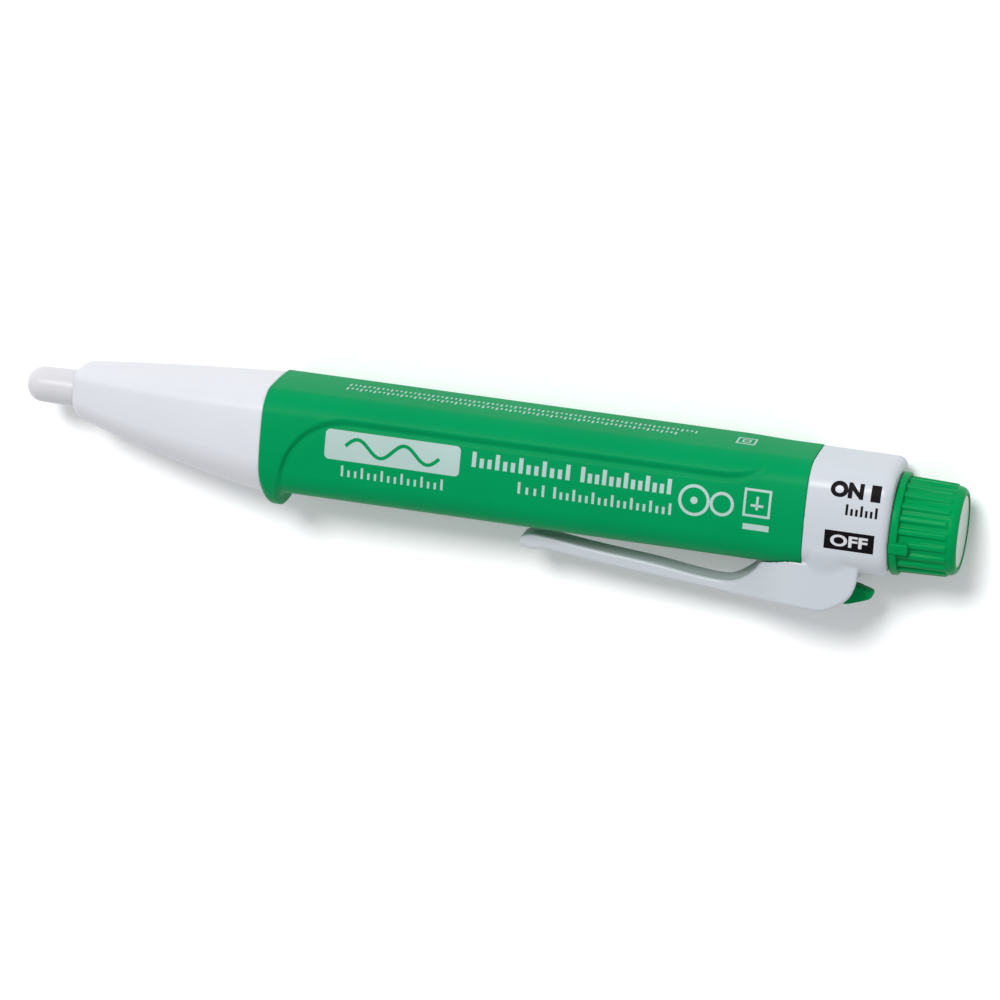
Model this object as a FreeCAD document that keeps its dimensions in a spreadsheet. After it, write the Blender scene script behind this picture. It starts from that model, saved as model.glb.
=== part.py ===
import FreeCAD, Part
import math
import os

import Sketcher
from FreeCAD import Placement, Rotation, Vector

# Pen type non contact voltage tester.
#
# Every sub-part is drawn in tool axes: X runs from the end of the tip to the end of the knob, the
# knob's axis is Y = Z = 0, the pocket clip is on the -Y side and the mid plane is Z = 0. Each finished
# sub-part is then placed so that the origin is under the middle of the tester as it lies on its flank.

doc = FreeCAD.newDocument("voltage_tester")
dims = doc.addObject("Spreadsheet::Sheet", "dims")

DIMENSIONS = {
    # overall
    "total_length": 160.0,
    "wall_t": 1.6,
    "slip": 0.1,
    "joint_gap": 0.05,
    "overlap": 0.5,
    # barrel: sunk section, and the proud section of the finger guard and the ridge along the back
    "barrel_front": 43.9,
    "barrel_back": 135.4,
    "back_high": 10.2,
    "belly_low": 7.9,
    "half_thick": 9.3,
    "back_round": 6.2,
    "belly_round": 5.0,
    "proud": 0.6,
    "ridge_rise": 0.1,
    "guard_low": 11.4,
    "guard_round": 9.4,
    "guard_back": 48.3,
    "panel_round": 10.5,
    "panel_top": 7.6,
    "panel_rise_start": 121.0,
    "panel_rise_end": 129.6,
    "panel_rise": 2.6,
    # nose cone: sections from the front to the barrel
    "nose_x_1": 10.0,
    "nose_x_2": 17.5,
    "nose_x_3": 29.0,
    "nose_mid_1": 3.38,
    "nose_mid_2": 2.43,
    "nose_mid_3": 1.39,
    "nose_mid_4": 0.5,
    "nose_half_1": 4.42,
    "nose_half_2": 5.9,
    "nose_half_3": 7.75,
    "nose_half_4": 9.6,
    "nose_squareness": 0.75,
    "nose_wall": 1.3,
    "nose_hollow_x": 12.4,
    "nose_hollow_half": 3.5,
    "nose_edge": 1.0,
    "spigot_length": 4.4,
    "spigot_wall": 1.2,
    # tip
    "tip_radius": 3.08,
    "tip_axis": 3.43,
    "tip_stem_end": 8.8,
    "tip_seat_radius": 2.9,
    "tip_flange_radius": 3.3,
    "tip_flange_x": 12.5,
    "tip_flange_length": 1.5,
    "tip_bore": 2.0,
    "tip_bore_x": 3.6,
    # cells
    "cell_radius": 5.25,
    "cell_length": 44.5,
    "cell_nub_radius": 1.9,
    "cell_nub_length": 0.9,
    "cell_axis": -0.9,
    "cell_x": 46.0,
    "channel_radius": 5.4,
    # carrier and board
    "deck_high": 5.0,
    "carrier_front": 48.6,
    "carrier_back": 130.8,
    "window_length": 30.0,
    "window_low": -3.8,
    "window_high": 2.6,
    "board_t": 0.8,
    "board_half": 6.2,
    "board_front": 49.5,
    "board_back": 126.0,
    "tongue_half": 3.2,
    "tongue_front": 24.0,
    "buzzer_x": 70.0,
    "buzzer_radius": 4.4,
    "buzzer_high": 1.9,
    "chip_x": 86.0,
    "chip_side": 6.0,
    "chip_high": 0.9,
    "led_radius": 1.3,
    "led_length": 5.0,
    "led_offset": 2.0,
    "part_first": 2.5,
    "part_pitch": 4.0,
    "part_row": 3.0,
    "part_length": 2.0,
    "part_width": 1.2,
    "part_high": 0.7,
    "plate_x": 4.2,
    "plate_radius": 1.8,
    "plate_t": 0.4,
    "lead_radius": 1.0,
    "lead_wire": 0.15,
    "lead_start": 0.2,
    "lead_end": 1.3,
    "contact_x": 45.5,
    "contact_t": 0.3,
    "contact_half": 4.0,
    "contact_tab_half": 1.2,
    "strip_lap": 4.0,
    "strip_gap": 0.3,
    "strip_t": 0.3,
    "strip_half": 1.5,
    # rear cap
    "cap_back": 149.2,
    "cap_half_thick": 9.2,
    "cap_edge": 1.5,
    "end_wall": 2.0,
    "seal_x": 133.0,
    "seal_length": 0.8,
    "seal_depth": 0.5,
    # root of the pocket clip
    "root_half": 2.4,
    "root_top": 8.25,
    "root_hollow_half": 1.7,
    "root_hollow_x": 128.6,
    "root_roof": 9.4,
    "root_low_start": 130.0,
    "root_low_end": 139.6,
    "root_low": 15.7,
    "root_bow": 0.55,
    "root_rear": 143.9,
    "root_corner_low": 9.6,
    "root_corner_round": 5.6,
    "root_front": 128.4,
    "root_foot_x": 127.2,
    "root_foot_low": 9.3,
    "root_foot_round": 4.6,
    "hollow_low_front": 14.5,
    "hollow_mid_x": 137.0,
    "hollow_low_mid": 15.35,
    "hollow_back_x": 140.6,
    "hollow_low_back": 15.1,
    "hollow_mouth_x": 147.0,
    "hollow_mouth_low": 16.0,
    "hook_slot_front": 128.8,
    "hook_slot_back": 131.2,
    # clip arm and its flexing line
    "arm_half": 2.25,
    "flex_x": 122.5,
    "flex_y": -14.0,
    "flex_radius": 0.95,
    "flex_seat": 1.0,
    "flex_seat_x": 0.4,
    "flex_lip": 1.15,
    "flex_shoulder": 0.3,
    "arm_mid_x": 105.0,
    "arm_mid_high": 11.7,
    "arm_mid_low": 13.85,
    "lip_back_x": 92.6,
    "lip_back_high": 10.45,
    "lip_back_low": 12.5,
    "lip_top_x": 89.4,
    "lip_high": 10.1,
    "lip_round": 1.9,
    "lip_end_x": 87.1,
    "lip_end_y": 11.2,
    "lip_end_round": 1.1,
    "lip_low_x": 88.6,
    "lip_low": 12.7,
    # latch
    "latch_x": 136.5,
    "latch_y": -12.6,
    "latch_half": 1.45,
    "lever_high": 11.4,
    "lever_low_front": 13.6,
    "lever_mid_x": 138.5,
    "lever_low_mid": 13.9,
    "hook_front": 129.4,
    "hook_back": 130.6,
    "hook_high": 8.2,
    "hook_nose": 9.0,
    "wedge_low_x": 141.7,
    "wedge_low": 14.8,
    "wedge_end_low_x": 146.1,
    "wedge_end_low": 13.5,
    "wedge_round": 1.2,
    "wedge_end_x": 146.4,
    "wedge_end_high": 12.1,
    "wedge_root_x": 143.4,
    "pin_radius": 0.6,
    "pin_slip": 0.05,
    "pin_half": 2.1,
    "latch_spring_x": 140.5,
    "latch_spring_radius": 0.8,
    "latch_spring_wire": 0.14,
    # knob
    "flange_x": 149.4,
    "flange_length": 1.2,
    "flange_radius": 8.45,
    "knob_radius": 7.8,
    "rib_end_radius": 7.6,
    "knob_end_radius": 7.35,
    "knob_rim_radius": 6.3,
    "flute_end": 158.5,
    "flute_count": 22,
    "flute_radius": 0.8,
    "flute_depth": 0.42,
    "disc_radius": 6.0,
    "disc_slip": 0.02,
    "disc_x": 158.7,
    "disc_t": 0.8,
    "knob_hollow_radius": 5.2,
    "knob_hollow_x": 151.6,
    "shaft_radius": 4.4,
    "shaft_slip": 0.05,
    "shaft_x": 141.0,
    "ring_x": 146.25,
    "ring_t": 0.6,
    "ring_seat_radius": 3.6,
    "ring_radius": 4.85,
    "ring_mouth": 2.52,
    "tab_x": 149.3,
    "tab_length": 3.2,
    "tab_width": 1.9,
    "tab_low": 7.2,
    "tab_high": 8.75,
    "off_angle": 11.2,
    # detent and switch
    "ball_radius": 0.8,
    "ball_x": 148.75,
    "ball_circle": 6.6,
    "ball_slip": 0.06,
    "boss_radius": 1.55,
    "boss_x": 144.0,
    "boss_floor": 0.6,
    "detent_spring_radius": 0.5,
    "detent_wire": 0.12,
    "switch_x": 138.9,
    "switch_t": 1.0,
    "wiper_t": 1.05,
    "wiper_reach": 4.0,
    "wiper_half": 1.0,
    "tail_radius": 3.6,
    "tail_wire": 0.3,
}


def fill_sheet():
    """One row per dimension: its name, and its value under that name as alias."""
    for row, (name, value) in enumerate(DIMENSIONS.items(), start=1):
        dims.set("A%d" % row, name)
        dims.set("B%d" % row, str(value))
        dims.setAlias("B%d" % row, name)
    doc.recompute()


def value(expression):
    """The number that an expression of sheet cells stands for."""
    result = dims.evalExpression(str(expression))
    return float(getattr(result, "Value", result))


def bind(item, prop, expression):
    item.setExpression(prop, str(expression))


def bind_base(item, x, y, z):
    for axis, expression in zip("xyz", (x, y, z)):
        bind(item, "Placement.Base." + axis, expression)


SHIFT = (
    "-dims.total_length / 2",
    "(dims.root_low + dims.root_bow - dims.back_high - dims.ridge_rise) / 2",
    "dims.half_thick + dims.proud",
)
ACROSS = Rotation(Vector(1, 1, 1), 120)
ALONG_X = Rotation(Vector(0, 1, 0), 90)
ALONG_Y = Rotation(Vector(1, 0, 0), -90)
UPRIGHT = Rotation()

finished = []


def finish(item, name, x="0", y="0", z="0"):
    """Names a sub-part and moves it from tool axes to the tester's own frame."""
    item.Label = name
    start = (x, y, z)
    bind_base(item, *["%s + %s" % pair for pair in zip(start, SHIFT)])
    finished.append(item)
    return item


# ---------------------------------------------------------------- primitives


def box(name, low, high):
    """A block between two corners, each three expressions."""
    item = doc.addObject("Part::Box", name)
    for prop, a, b in zip(("Length", "Width", "Height"), low, high):
        bind(item, prop, "(%s) - (%s)" % (b, a))
    bind_base(item, *low)
    return item


def cylinder(name, radius, length, start, turn=ALONG_X):
    item = doc.addObject("Part::Cylinder", name)
    item.Placement = Placement(Vector(), turn)
    bind(item, "Radius", radius)
    bind(item, "Height", length)
    bind_base(item, *start)
    return item


def sphere(name, radius, centre):
    item = doc.addObject("Part::Sphere", name)
    bind(item, "Radius", radius)
    bind_base(item, *centre)
    return item


def torus(name, ring_radius, tube_radius, x):
    item = doc.addObject("Part::Torus", name)
    item.Placement = Placement(Vector(), ALONG_X)
    bind(item, "Radius1", ring_radius)
    bind(item, "Radius2", tube_radius)
    bind_base(item, x, "0", "0")
    return item


def fuse(name, items):
    item = doc.addObject("Part::MultiFuse", name)
    item.Shapes = items
    return item


def cut(name, base, tools):
    tool = tools[0] if len(tools) == 1 else fuse(name + "_tools", tools)
    item = doc.addObject("Part::Cut", name)
    item.Base = base
    item.Tool = tool
    return item


def coil_spring(name, radius, wire, length, turns, start, turn):
    """Round wire swept along a helix."""
    helix = doc.addObject("Part::Helix", name + "_line")
    bind(helix, "Radius", radius)
    bind(helix, "Height", length)
    bind(helix, "Pitch", "(%s) / %g" % (length, turns))
    section = doc.addObject("Part::Circle", name + "_wire")
    section.Placement = Placement(Vector(), Rotation(Vector(1, 0, 0), 90))
    bind(section, "Radius", wire)
    bind(section, "Placement.Base.x", radius)
    spring = doc.addObject("Part::Sweep", name + "_spring")
    spring.Sections = [section]
    spring.Spine = (helix, ["Edge1"])
    spring.Solid = True
    spring.Frenet = True
    spring.Placement = Placement(Vector(), turn)
    return finish(spring, name, *start)


# ---------------------------------------------------------------- sketches


def rounded_section(sketch, top, bottom, half_width, top_round, bottom_round):
    """The tester's cross section, Y to the sketch's right and Z up, all sides from the knob's axis."""
    high, low, wide, rt, rb = (value(e) for e in (top, bottom, half_width, top_round, bottom_round))
    corners = [
        (high - rt, wide - rt, rt, 0),
        (rb - low, wide - rb, rb, 1),
        (rb - low, rb - wide, rb, 2),
        (high - rt, rt - wide, rt, 3),
    ]
    quarter = math.pi / 2
    arcs = []
    for x, y, radius, turn in corners:
        circle = Part.Circle(Vector(x, y, 0), Vector(0, 0, 1), radius)
        arcs.append(Part.ArcOfCircle(circle, turn * quarter, (turn + 1) * quarter))
    for n, arc in enumerate(arcs):
        sketch.addGeometry(arc)
        sketch.addGeometry(Part.LineSegment(arc.EndPoint, arcs[(n + 1) % 4].StartPoint))
    for n in range(8):
        sketch.addConstraint(Sketcher.Constraint("Tangent", n, 2, (n + 1) % 8, 1))
    for line in (1, 5):
        sketch.addConstraint(Sketcher.Constraint("Horizontal", line))
    for line in (3, 7):
        sketch.addConstraint(Sketcher.Constraint("Vertical", line))
    sketch.addConstraint(Sketcher.Constraint("Equal", 0, 6))
    sketch.addConstraint(Sketcher.Constraint("Equal", 2, 4))
    driven = [
        (Sketcher.Constraint("Radius", 0, rt), top_round),
        (Sketcher.Constraint("Radius", 2, rb), bottom_round),
        (Sketcher.Constraint("DistanceX", -1, 1, 7, 1, high), top),
        (Sketcher.Constraint("DistanceX", 3, 1, -1, 1, low), bottom),
        (Sketcher.Constraint("DistanceY", -1, 1, 1, 1, wide), half_width),
        (Sketcher.Constraint("DistanceY", 5, 1, -1, 1, wide), half_width),
    ]
    for constraint, expression in driven:
        number = sketch.addConstraint(constraint)
        bind(sketch, "Constraints[%d]" % number, expression)


def outline(sketch, points):
    """A closed outline. Each point is x, y and the radius of the arc to the next point, or None for
    a straight edge. A positive radius bulges to the right of the way the outline runs."""
    places = [Vector(value(x), value(y), 0) for x, y, _ in points]
    for n, (_, _, radius) in enumerate(points):
        here, there = places[n], places[(n + 1) % len(points)]
        if radius is None:
            sketch.addGeometry(Part.LineSegment(here, there))
            continue
        size = value(radius)
        chord = there - here
        side = Vector(chord.y, -chord.x, 0).normalize() * math.copysign(1, size)
        sagitta = abs(size) - math.sqrt(size * size - chord.Length**2 / 4)
        middle = (here + there) / 2 + side * sagitta
        sketch.addGeometry(Part.Arc(here, middle, there))
    for n, (x, y, radius) in enumerate(points):
        start, end = ends(sketch, n, places[n])
        after = (n + 1) % len(points)
        next_start, _ = ends(sketch, after, places[after])
        sketch.addConstraint(Sketcher.Constraint("Coincident", n, end, after, next_start))
        if radius is not None:
            number = sketch.addConstraint(Sketcher.Constraint("Radius", n, abs(value(radius))))
            bind(sketch, "Constraints[%d]" % number, "abs(%s)" % radius)
        for kind, expression in (("DistanceX", x), ("DistanceY", y)):
            constraint = Sketcher.Constraint(kind, -1, 1, n, start, value(expression))
            number = sketch.addConstraint(constraint)
            bind(sketch, "Constraints[%d]" % number, expression)


def ends(sketch, edge, place):
    """Which end of an edge lies at a place, and which is the other one: an arc may run backwards."""
    near = (sketch.getPoint(edge, 1) - place).Length < (sketch.getPoint(edge, 2) - place).Length
    return (1, 2) if near else (2, 1)


def body_sketch(body, name, role, offset="0"):
    """A sketch on one of the body's origin planes, moved along its normal by an offset."""
    sketch = body.newObject("Sketcher::SketchObject", name)
    plane = [f for f in body.Origin.OriginFeatures if f.Role == role][0]
    sketch.AttachmentSupport = (plane, [""])
    sketch.MapMode = "FlatFace"
    bind(sketch, "AttachmentOffset.Base.z", offset)
    return sketch


def new_body(name):
    return doc.addObject("PartDesign::Body", name)


def section_block(name, start, end, *section):
    """The rounded section extruded along the tool, as a Part extrusion."""
    sketch = doc.addObject("Sketcher::SketchObject", name + "_section")
    sketch.Placement = Placement(Vector(), ACROSS)
    bind_base(sketch, start, "0", "0")
    rounded_section(sketch, *section)
    block = doc.addObject("Part::Extrusion", name)
    block.Base = sketch
    block.DirMode = "Normal"
    block.Solid = True
    bind(block, "LengthFwd", "(%s) - (%s)" % (end, start))
    return block


def side_block(name, half_width, points):
    """An outline of the XY plane extruded to both sides of the mid plane."""
    sketch = doc.addObject("Sketcher::SketchObject", name + "_outline")
    bind_base(sketch, "0", "0", "-(%s)" % half_width)
    outline(sketch, points)
    block = doc.addObject("Part::Extrusion", name)
    block.Base = sketch
    block.DirMode = "Normal"
    block.Solid = True
    bind(block, "LengthFwd", "2 * (%s)" % half_width)
    return block


def shrunk_section(amount, half="dims.half_thick"):
    """The sunk barrel section, smaller all round by an amount."""
    return (
        "dims.back_high - (%s)" % amount,
        "dims.belly_low - (%s)" % amount,
        "%s - (%s)" % (half, amount),
        "dims.back_round - (%s)" % amount,
        "dims.belly_round - (%s)" % amount,
    )


def cell_channel(name, start, end):
    length = "(%s) - (%s)" % (end, start)
    return cylinder(name, "dims.channel_radius", length, (start, "dims.cell_axis", "0"))


# ---------------------------------------------------------------- front end


def make_sensor_tip():
    """The probe tip: a thicker stem in front of the nose and a thinner neck seated in it."""
    axis = "dims.tip_axis"
    stem_length = "dims.tip_stem_end - dims.tip_radius"
    neck_length = "dims.tip_flange_x - dims.tip_stem_end"
    rounded_end = sphere("tip_end", "dims.tip_radius", ("dims.tip_radius", axis, "0"))
    stem = cylinder("tip_stem", "dims.tip_radius", stem_length, ("dims.tip_radius", axis, "0"))
    neck = cylinder("tip_neck", "dims.tip_seat_radius", neck_length, ("dims.tip_stem_end", axis, "0"))
    flange = cylinder(
        "tip_flange",
        "dims.tip_flange_radius",
        "dims.tip_flange_length",
        ("dims.tip_flange_x", axis, "0"),
    )
    bore_length = "dims.tip_flange_x + dims.tip_flange_length - dims.tip_bore_x"
    bore = cylinder("tip_bore", "dims.tip_bore", bore_length, ("dims.tip_bore_x", axis, "0"))
    solid = fuse("tip_solid", [rounded_end, stem, neck, flange])
    finish(cut("tip", solid, [bore]), "sensor_tip")


def nose_section(middle, half, smaller="0"):
    size = "(%s - %s)" % (half, smaller)
    rounding = "%s * dims.nose_squareness" % size
    return ("%s + %s" % (middle, size), "%s - (%s)" % (size, middle), size, rounding, rounding)


def make_nose_cone():
    """A lofted hollow cone with a bevelled front and a spigot that slides into the barrel."""
    body = new_body("nose")
    outer = []
    for n in range(1, 5):
        station = "dims.nose_x_%d" % n if n < 4 else "dims.barrel_front"
        sketch = body_sketch(body, "nose_outer_%d" % n, "YZ_Plane", station)
        rounded_section(sketch, *nose_section("dims.nose_mid_%d" % n, "dims.nose_half_%d" % n))
        outer.append(sketch)
    shell = body.newObject("PartDesign::AdditiveLoft", "nose_outside")
    shell.Profile = outer[0]
    shell.Sections = outer[1:]
    doc.recompute()

    front = body_sketch(body, "nose_front_section", "YZ_Plane", "dims.nose_x_1 - dims.nose_edge")
    rounded_section(front, *nose_section("dims.nose_mid_1", "dims.nose_half_1", "dims.nose_edge"))
    lip = body.newObject("PartDesign::AdditiveLoft", "nose_front_edge")
    lip.Profile = front
    lip.Sections = [outer[0]]
    lip.Ruled = True
    doc.recompute()

    spigot_sketch = body_sketch(body, "nose_spigot_section", "YZ_Plane", "dims.barrel_front")
    rounded_section(spigot_sketch, *shrunk_section("dims.wall_t + dims.slip"))
    spigot = body.newObject("PartDesign::Pad", "nose_spigot")
    spigot.Profile = spigot_sketch
    bind(spigot, "Length", "dims.spigot_length")
    doc.recompute()

    inner = [body_sketch(body, "nose_inner_1", "YZ_Plane", "dims.nose_hollow_x")]
    rounded_section(inner[0], *nose_section("dims.nose_mid_1", "dims.nose_hollow_half"))
    for n in (2, 3):
        sketch = body_sketch(body, "nose_inner_%d" % n, "YZ_Plane", "dims.nose_x_%d" % n)
        section = nose_section("dims.nose_mid_%d" % n, "dims.nose_half_%d" % n, "dims.nose_wall")
        rounded_section(sketch, *section)
        inner.append(sketch)
    mouth = body_sketch(body, "nose_inner_4", "YZ_Plane", "dims.barrel_front")
    spigot_bore = shrunk_section("dims.wall_t + dims.slip + dims.spigot_wall")
    rounded_section(mouth, *spigot_bore)
    inner.append(mouth)
    hollow = body.newObject("PartDesign::SubtractiveLoft", "nose_inside")
    hollow.Profile = inner[0]
    hollow.Sections = inner[1:]
    doc.recompute()

    neck = body_sketch(body, "spigot_bore_section", "YZ_Plane", "dims.barrel_front")
    rounded_section(neck, *spigot_bore)
    bore = body.newObject("PartDesign::Pocket", "spigot_bore")
    bore.Profile = neck
    bore.Reversed = True
    bind(bore, "Length", "dims.spigot_length")
    doc.recompute()

    tip_hole = cylinder(
        "nose_tip_hole",
        "dims.tip_seat_radius",
        "dims.nose_hollow_x",
        ("dims.plate_x", "dims.tip_axis", "0"),
    )
    end = "dims.barrel_front + dims.spigot_length"
    channel = cell_channel("nose_cell_channel", "dims.contact_x - 1", end)
    finish(cut("nose_shell", body, [tip_hole, channel]), "nose_cone")


# ---------------------------------------------------------------- barrel and what it holds


def make_barrel():
    """A sunk tube, with the finger guard and a ridge along the back standing proud of it."""
    sunk = section_block("barrel_sunk", "dims.barrel_front", "dims.barrel_back", *shrunk_section("0"))
    proud = section_block(
        "barrel_proud",
        "dims.barrel_front",
        "dims.panel_rise_end",
        "dims.back_high + dims.ridge_rise",
        "dims.guard_low",
        "dims.half_thick + dims.proud",
        "dims.back_round + dims.proud",
        "dims.guard_round",
    )
    below = "-(dims.guard_low + 1)"
    behind = "dims.panel_rise_end + 1"
    rise_radius = "(({0})^2 + dims.panel_rise^2) / (2 * dims.panel_rise)".format(
        "dims.panel_rise_end - dims.panel_rise_start"
    )
    panel = side_block(
        "panel_cut",
        "dims.half_thick + 2",
        [
            ("dims.guard_back", below, None),
            (behind, below, None),
            (behind, "dims.panel_top + dims.panel_rise", None),
            ("dims.panel_rise_end", "dims.panel_top + dims.panel_rise", "-(%s)" % rise_radius),
            ("dims.panel_rise_start", "dims.panel_top", None),
            ("dims.guard_back + dims.panel_round", "dims.panel_top", "dims.panel_round"),
            ("dims.guard_back", "dims.panel_top - dims.panel_round", None),
        ],
    )
    outside = fuse("barrel_outside", [sunk, cut("barrel_ridge", proud, [panel])])
    cavity = section_block(
        "barrel_cavity", "dims.barrel_front", "dims.barrel_back", *shrunk_section("dims.wall_t")
    )
    finish(cut("barrel_shell", outside, [cavity]), "barrel")


def make_battery_carrier():
    """A cradle that fills the barrel below the board, open under the cells, with side windows."""
    start, end = "dims.carrier_front", "dims.carrier_back"
    block = section_block("carrier_block", start, end, *shrunk_section("dims.wall_t + dims.slip"))
    above = box(
        "above_deck",
        (start, "dims.deck_high", "-dims.half_thick"),
        (end, "dims.back_high", "dims.half_thick"),
    )
    gap = "(dims.carrier_back - dims.carrier_front - 2 * dims.window_length) / 3"
    windows = []
    for n in (1, 2):
        left = "%s + %d * (%s) + %d * dims.window_length" % (start, n, gap, n - 1)
        low = (left, "dims.window_low", "-dims.half_thick")
        high = ("%s + dims.window_length" % left, "dims.window_high", "dims.half_thick")
        windows.append(box("carrier_window_%d" % n, low, high))
    channel = cell_channel("carrier_channel", start, end)
    finish(cut("carrier", block, [above, channel] + windows), "battery_carrier")


def make_cell(name, start):
    axis = "dims.cell_axis"
    can_length = "dims.cell_length - dims.cell_nub_length"
    can = cylinder(
        name + "_can",
        "dims.cell_radius",
        can_length,
        ("%s + dims.cell_nub_length" % start, axis, "0"),
    )
    nub = cylinder(
        name + "_nub", "dims.cell_nub_radius", "dims.cell_nub_length + dims.overlap", (start, axis, "0")
    )
    finish(fuse(name + "_cell", [can, nub]), name)


def make_board():
    """The board: a wide part on the carrier's deck and a narrow tongue into the nose."""
    low, high = "dims.deck_high", "dims.deck_high + dims.board_t"
    wide = box(
        "board_wide",
        ("dims.board_front", low, "-dims.board_half"),
        ("dims.board_back", high, "dims.board_half"),
    )
    tongue = box(
        "board_tongue",
        ("dims.tongue_front", low, "-dims.tongue_half"),
        ("dims.board_front + 1", high, "dims.tongue_half"),
    )
    finish(fuse("board", [wide, tongue]), "circuit_board")


def make_board_parts():
    top = "dims.deck_high + dims.board_t"
    chip = box("chip", ("0", "0", "0"), ("dims.chip_side", "dims.chip_high", "dims.chip_side"))
    finish(chip, "controller_chip", "dims.chip_x", top, "-dims.chip_side / 2")

    buzzer = cylinder("buzzer_can", "dims.buzzer_radius", "dims.buzzer_high", ("0", "0", "0"), ALONG_Y)
    finish(buzzer, "buzzer", "dims.buzzer_x", top, "0")

    small = []
    for n in range(5):
        for side in (-1, 1):
            x = "dims.chip_x + dims.chip_side + dims.part_first + %d * dims.part_pitch" % n
            z = "%d * dims.part_row - dims.part_width / 2" % side
            low = (x, top, z)
            high = (x + " + dims.part_length", top + " + dims.part_high", z + " + dims.part_width")
            small.append(box("chip_part_%d_%d" % (n, side + 1), low, high))
    group = doc.addObject("Part::Compound", "small_parts")
    group.Links = small
    finish(group, "board_components")


def make_led(name, side):
    """A small lamp in front of the board's tongue, its leads soldered to the board's edge."""
    y = "dims.deck_high + dims.board_t / 2"
    z = "%d * dims.led_offset" % side
    start = "dims.tongue_front - dims.led_length"
    barrel_length = "dims.led_length - dims.led_radius"
    dome = sphere(name + "_dome", "dims.led_radius", (start + " + dims.led_radius", y, z))
    stem = cylinder(
        name + "_stem", "dims.led_radius", barrel_length, (start + " + dims.led_radius", y, z)
    )
    finish(fuse(name + "_lamp", [dome, stem]), name)


def make_sensor():
    axis = "dims.tip_axis"
    plate = cylinder("plate", "dims.plate_radius", "dims.plate_t", ("0", "0", "0"))
    finish(plate, "sensor_plate", "dims.plate_x", axis, "0")
    start = "dims.plate_x + dims.plate_t + dims.lead_start"
    length = "dims.tongue_front - dims.lead_end - dims.lead_start - dims.plate_x"
    wire = "dims.lead_wire"
    coil_spring("sensor_spring", "dims.lead_radius", wire, length, 9, (start, axis, "0"), ALONG_X)


def make_contacts():
    low_x, high_x = "dims.contact_x", "dims.contact_x + dims.contact_t"
    half = "dims.contact_half"
    plate = box(
        "contact_plate",
        (low_x, "dims.cell_axis - " + half, "-" + half),
        (high_x, "dims.cell_axis + " + half, half),
    )
    tongue = box(
        "contact_tab",
        (low_x, "dims.cell_axis", "-dims.contact_tab_half"),
        (high_x, "dims.deck_high", "dims.contact_tab_half"),
    )
    finish(fuse("front_plate", [plate, tongue]), "front_contact")

    length = "dims.switch_x - dims.strip_gap - dims.board_back + dims.strip_lap"
    strip = box("strip", ("0", "0", "0"), (length, "dims.strip_t", "2 * dims.strip_half"))
    start = "dims.board_back - dims.strip_lap"
    top = "dims.deck_high + dims.board_t"
    finish(strip, "contact_strip", start, top, "-dims.strip_half")


# ---------------------------------------------------------------- rear cap


def make_cap_shell():
    """The white collar as a turned-in cup, its spigot and its end wall with the shaft's bore."""
    body = new_body("cap")
    section = body_sketch(body, "cap_section", "YZ_Plane", "dims.barrel_back + dims.joint_gap")
    half = "(dims.cap_half_thick + dims.joint_gap)"
    rounded_section(section, *shrunk_section("dims.joint_gap", half))
    collar = body.newObject("PartDesign::Pad", "cap_collar")
    collar.Profile = section
    bind(collar, "Length", "dims.cap_back - dims.barrel_back - dims.joint_gap")
    doc.recompute()

    back = value("dims.cap_back")
    names = [
        "Edge%d" % (n + 1)
        for n, e in enumerate(collar.Shape.Edges)
        if e.BoundBox.XMin > back - 0.01
    ]
    edge = body.newObject("PartDesign::Fillet", "cap_back_edge")
    edge.Base = (collar, names)
    bind(edge, "Radius", "dims.cap_edge")
    doc.recompute()

    spigot_start = "dims.barrel_back - dims.spigot_length"
    spigot_sketch = body_sketch(body, "cap_spigot_section", "YZ_Plane", spigot_start)
    rounded_section(spigot_sketch, *shrunk_section("dims.wall_t + dims.slip"))
    spigot = body.newObject("PartDesign::Pad", "cap_spigot")
    spigot.Profile = spigot_sketch
    bind(spigot, "Length", "dims.spigot_length + 1")
    doc.recompute()

    hollow_sketch = body_sketch(body, "cap_hollow_section", "YZ_Plane", spigot_start)
    spigot_bore = shrunk_section("dims.wall_t + dims.slip + dims.spigot_wall")
    rounded_section(hollow_sketch, *spigot_bore)
    hollow = body.newObject("PartDesign::Pocket", "cap_hollow")
    hollow.Profile = hollow_sketch
    hollow.Reversed = True
    bind(hollow, "Length", "dims.cap_back - dims.end_wall - (%s)" % spigot_start)
    doc.recompute()
    return body


def root_outline():
    """The hollow root of the clip, from the flexing line to the rounded rear corner."""
    seat_x = "dims.flex_x + dims.flex_seat_x"
    lip = "sqrt(dims.flex_seat^2 - dims.flex_seat_x^2)"
    shelf = "-dims.root_top"
    inside = "-(dims.belly_low - 1)"
    half_chord = "(dims.root_low_end - dims.root_low_start) / 2"
    bow_radius = "((%s)^2 + dims.root_bow^2) / (2 * dims.root_bow)" % half_chord
    return [
        (seat_x, "dims.flex_y - dims.flex_lip", None),
        ("dims.root_low_start", "-dims.root_low", bow_radius),
        ("dims.root_low_end", "-dims.root_low", "dims.root_corner_round"),
        ("dims.root_rear", "-dims.root_corner_low", None),
        ("dims.root_rear", inside, None),
        ("dims.barrel_back + dims.joint_gap", inside, None),
        ("dims.barrel_back + dims.joint_gap", shelf, None),
        ("dims.root_front", shelf, None),
        ("dims.root_foot_x", "-dims.root_foot_low", "-dims.root_foot_round"),
        (seat_x, "dims.flex_y + dims.flex_lip", None),
        (seat_x, "dims.flex_y + " + lip, "-dims.flex_seat"),
        (seat_x, "dims.flex_y - " + lip, None),
    ]


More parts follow.
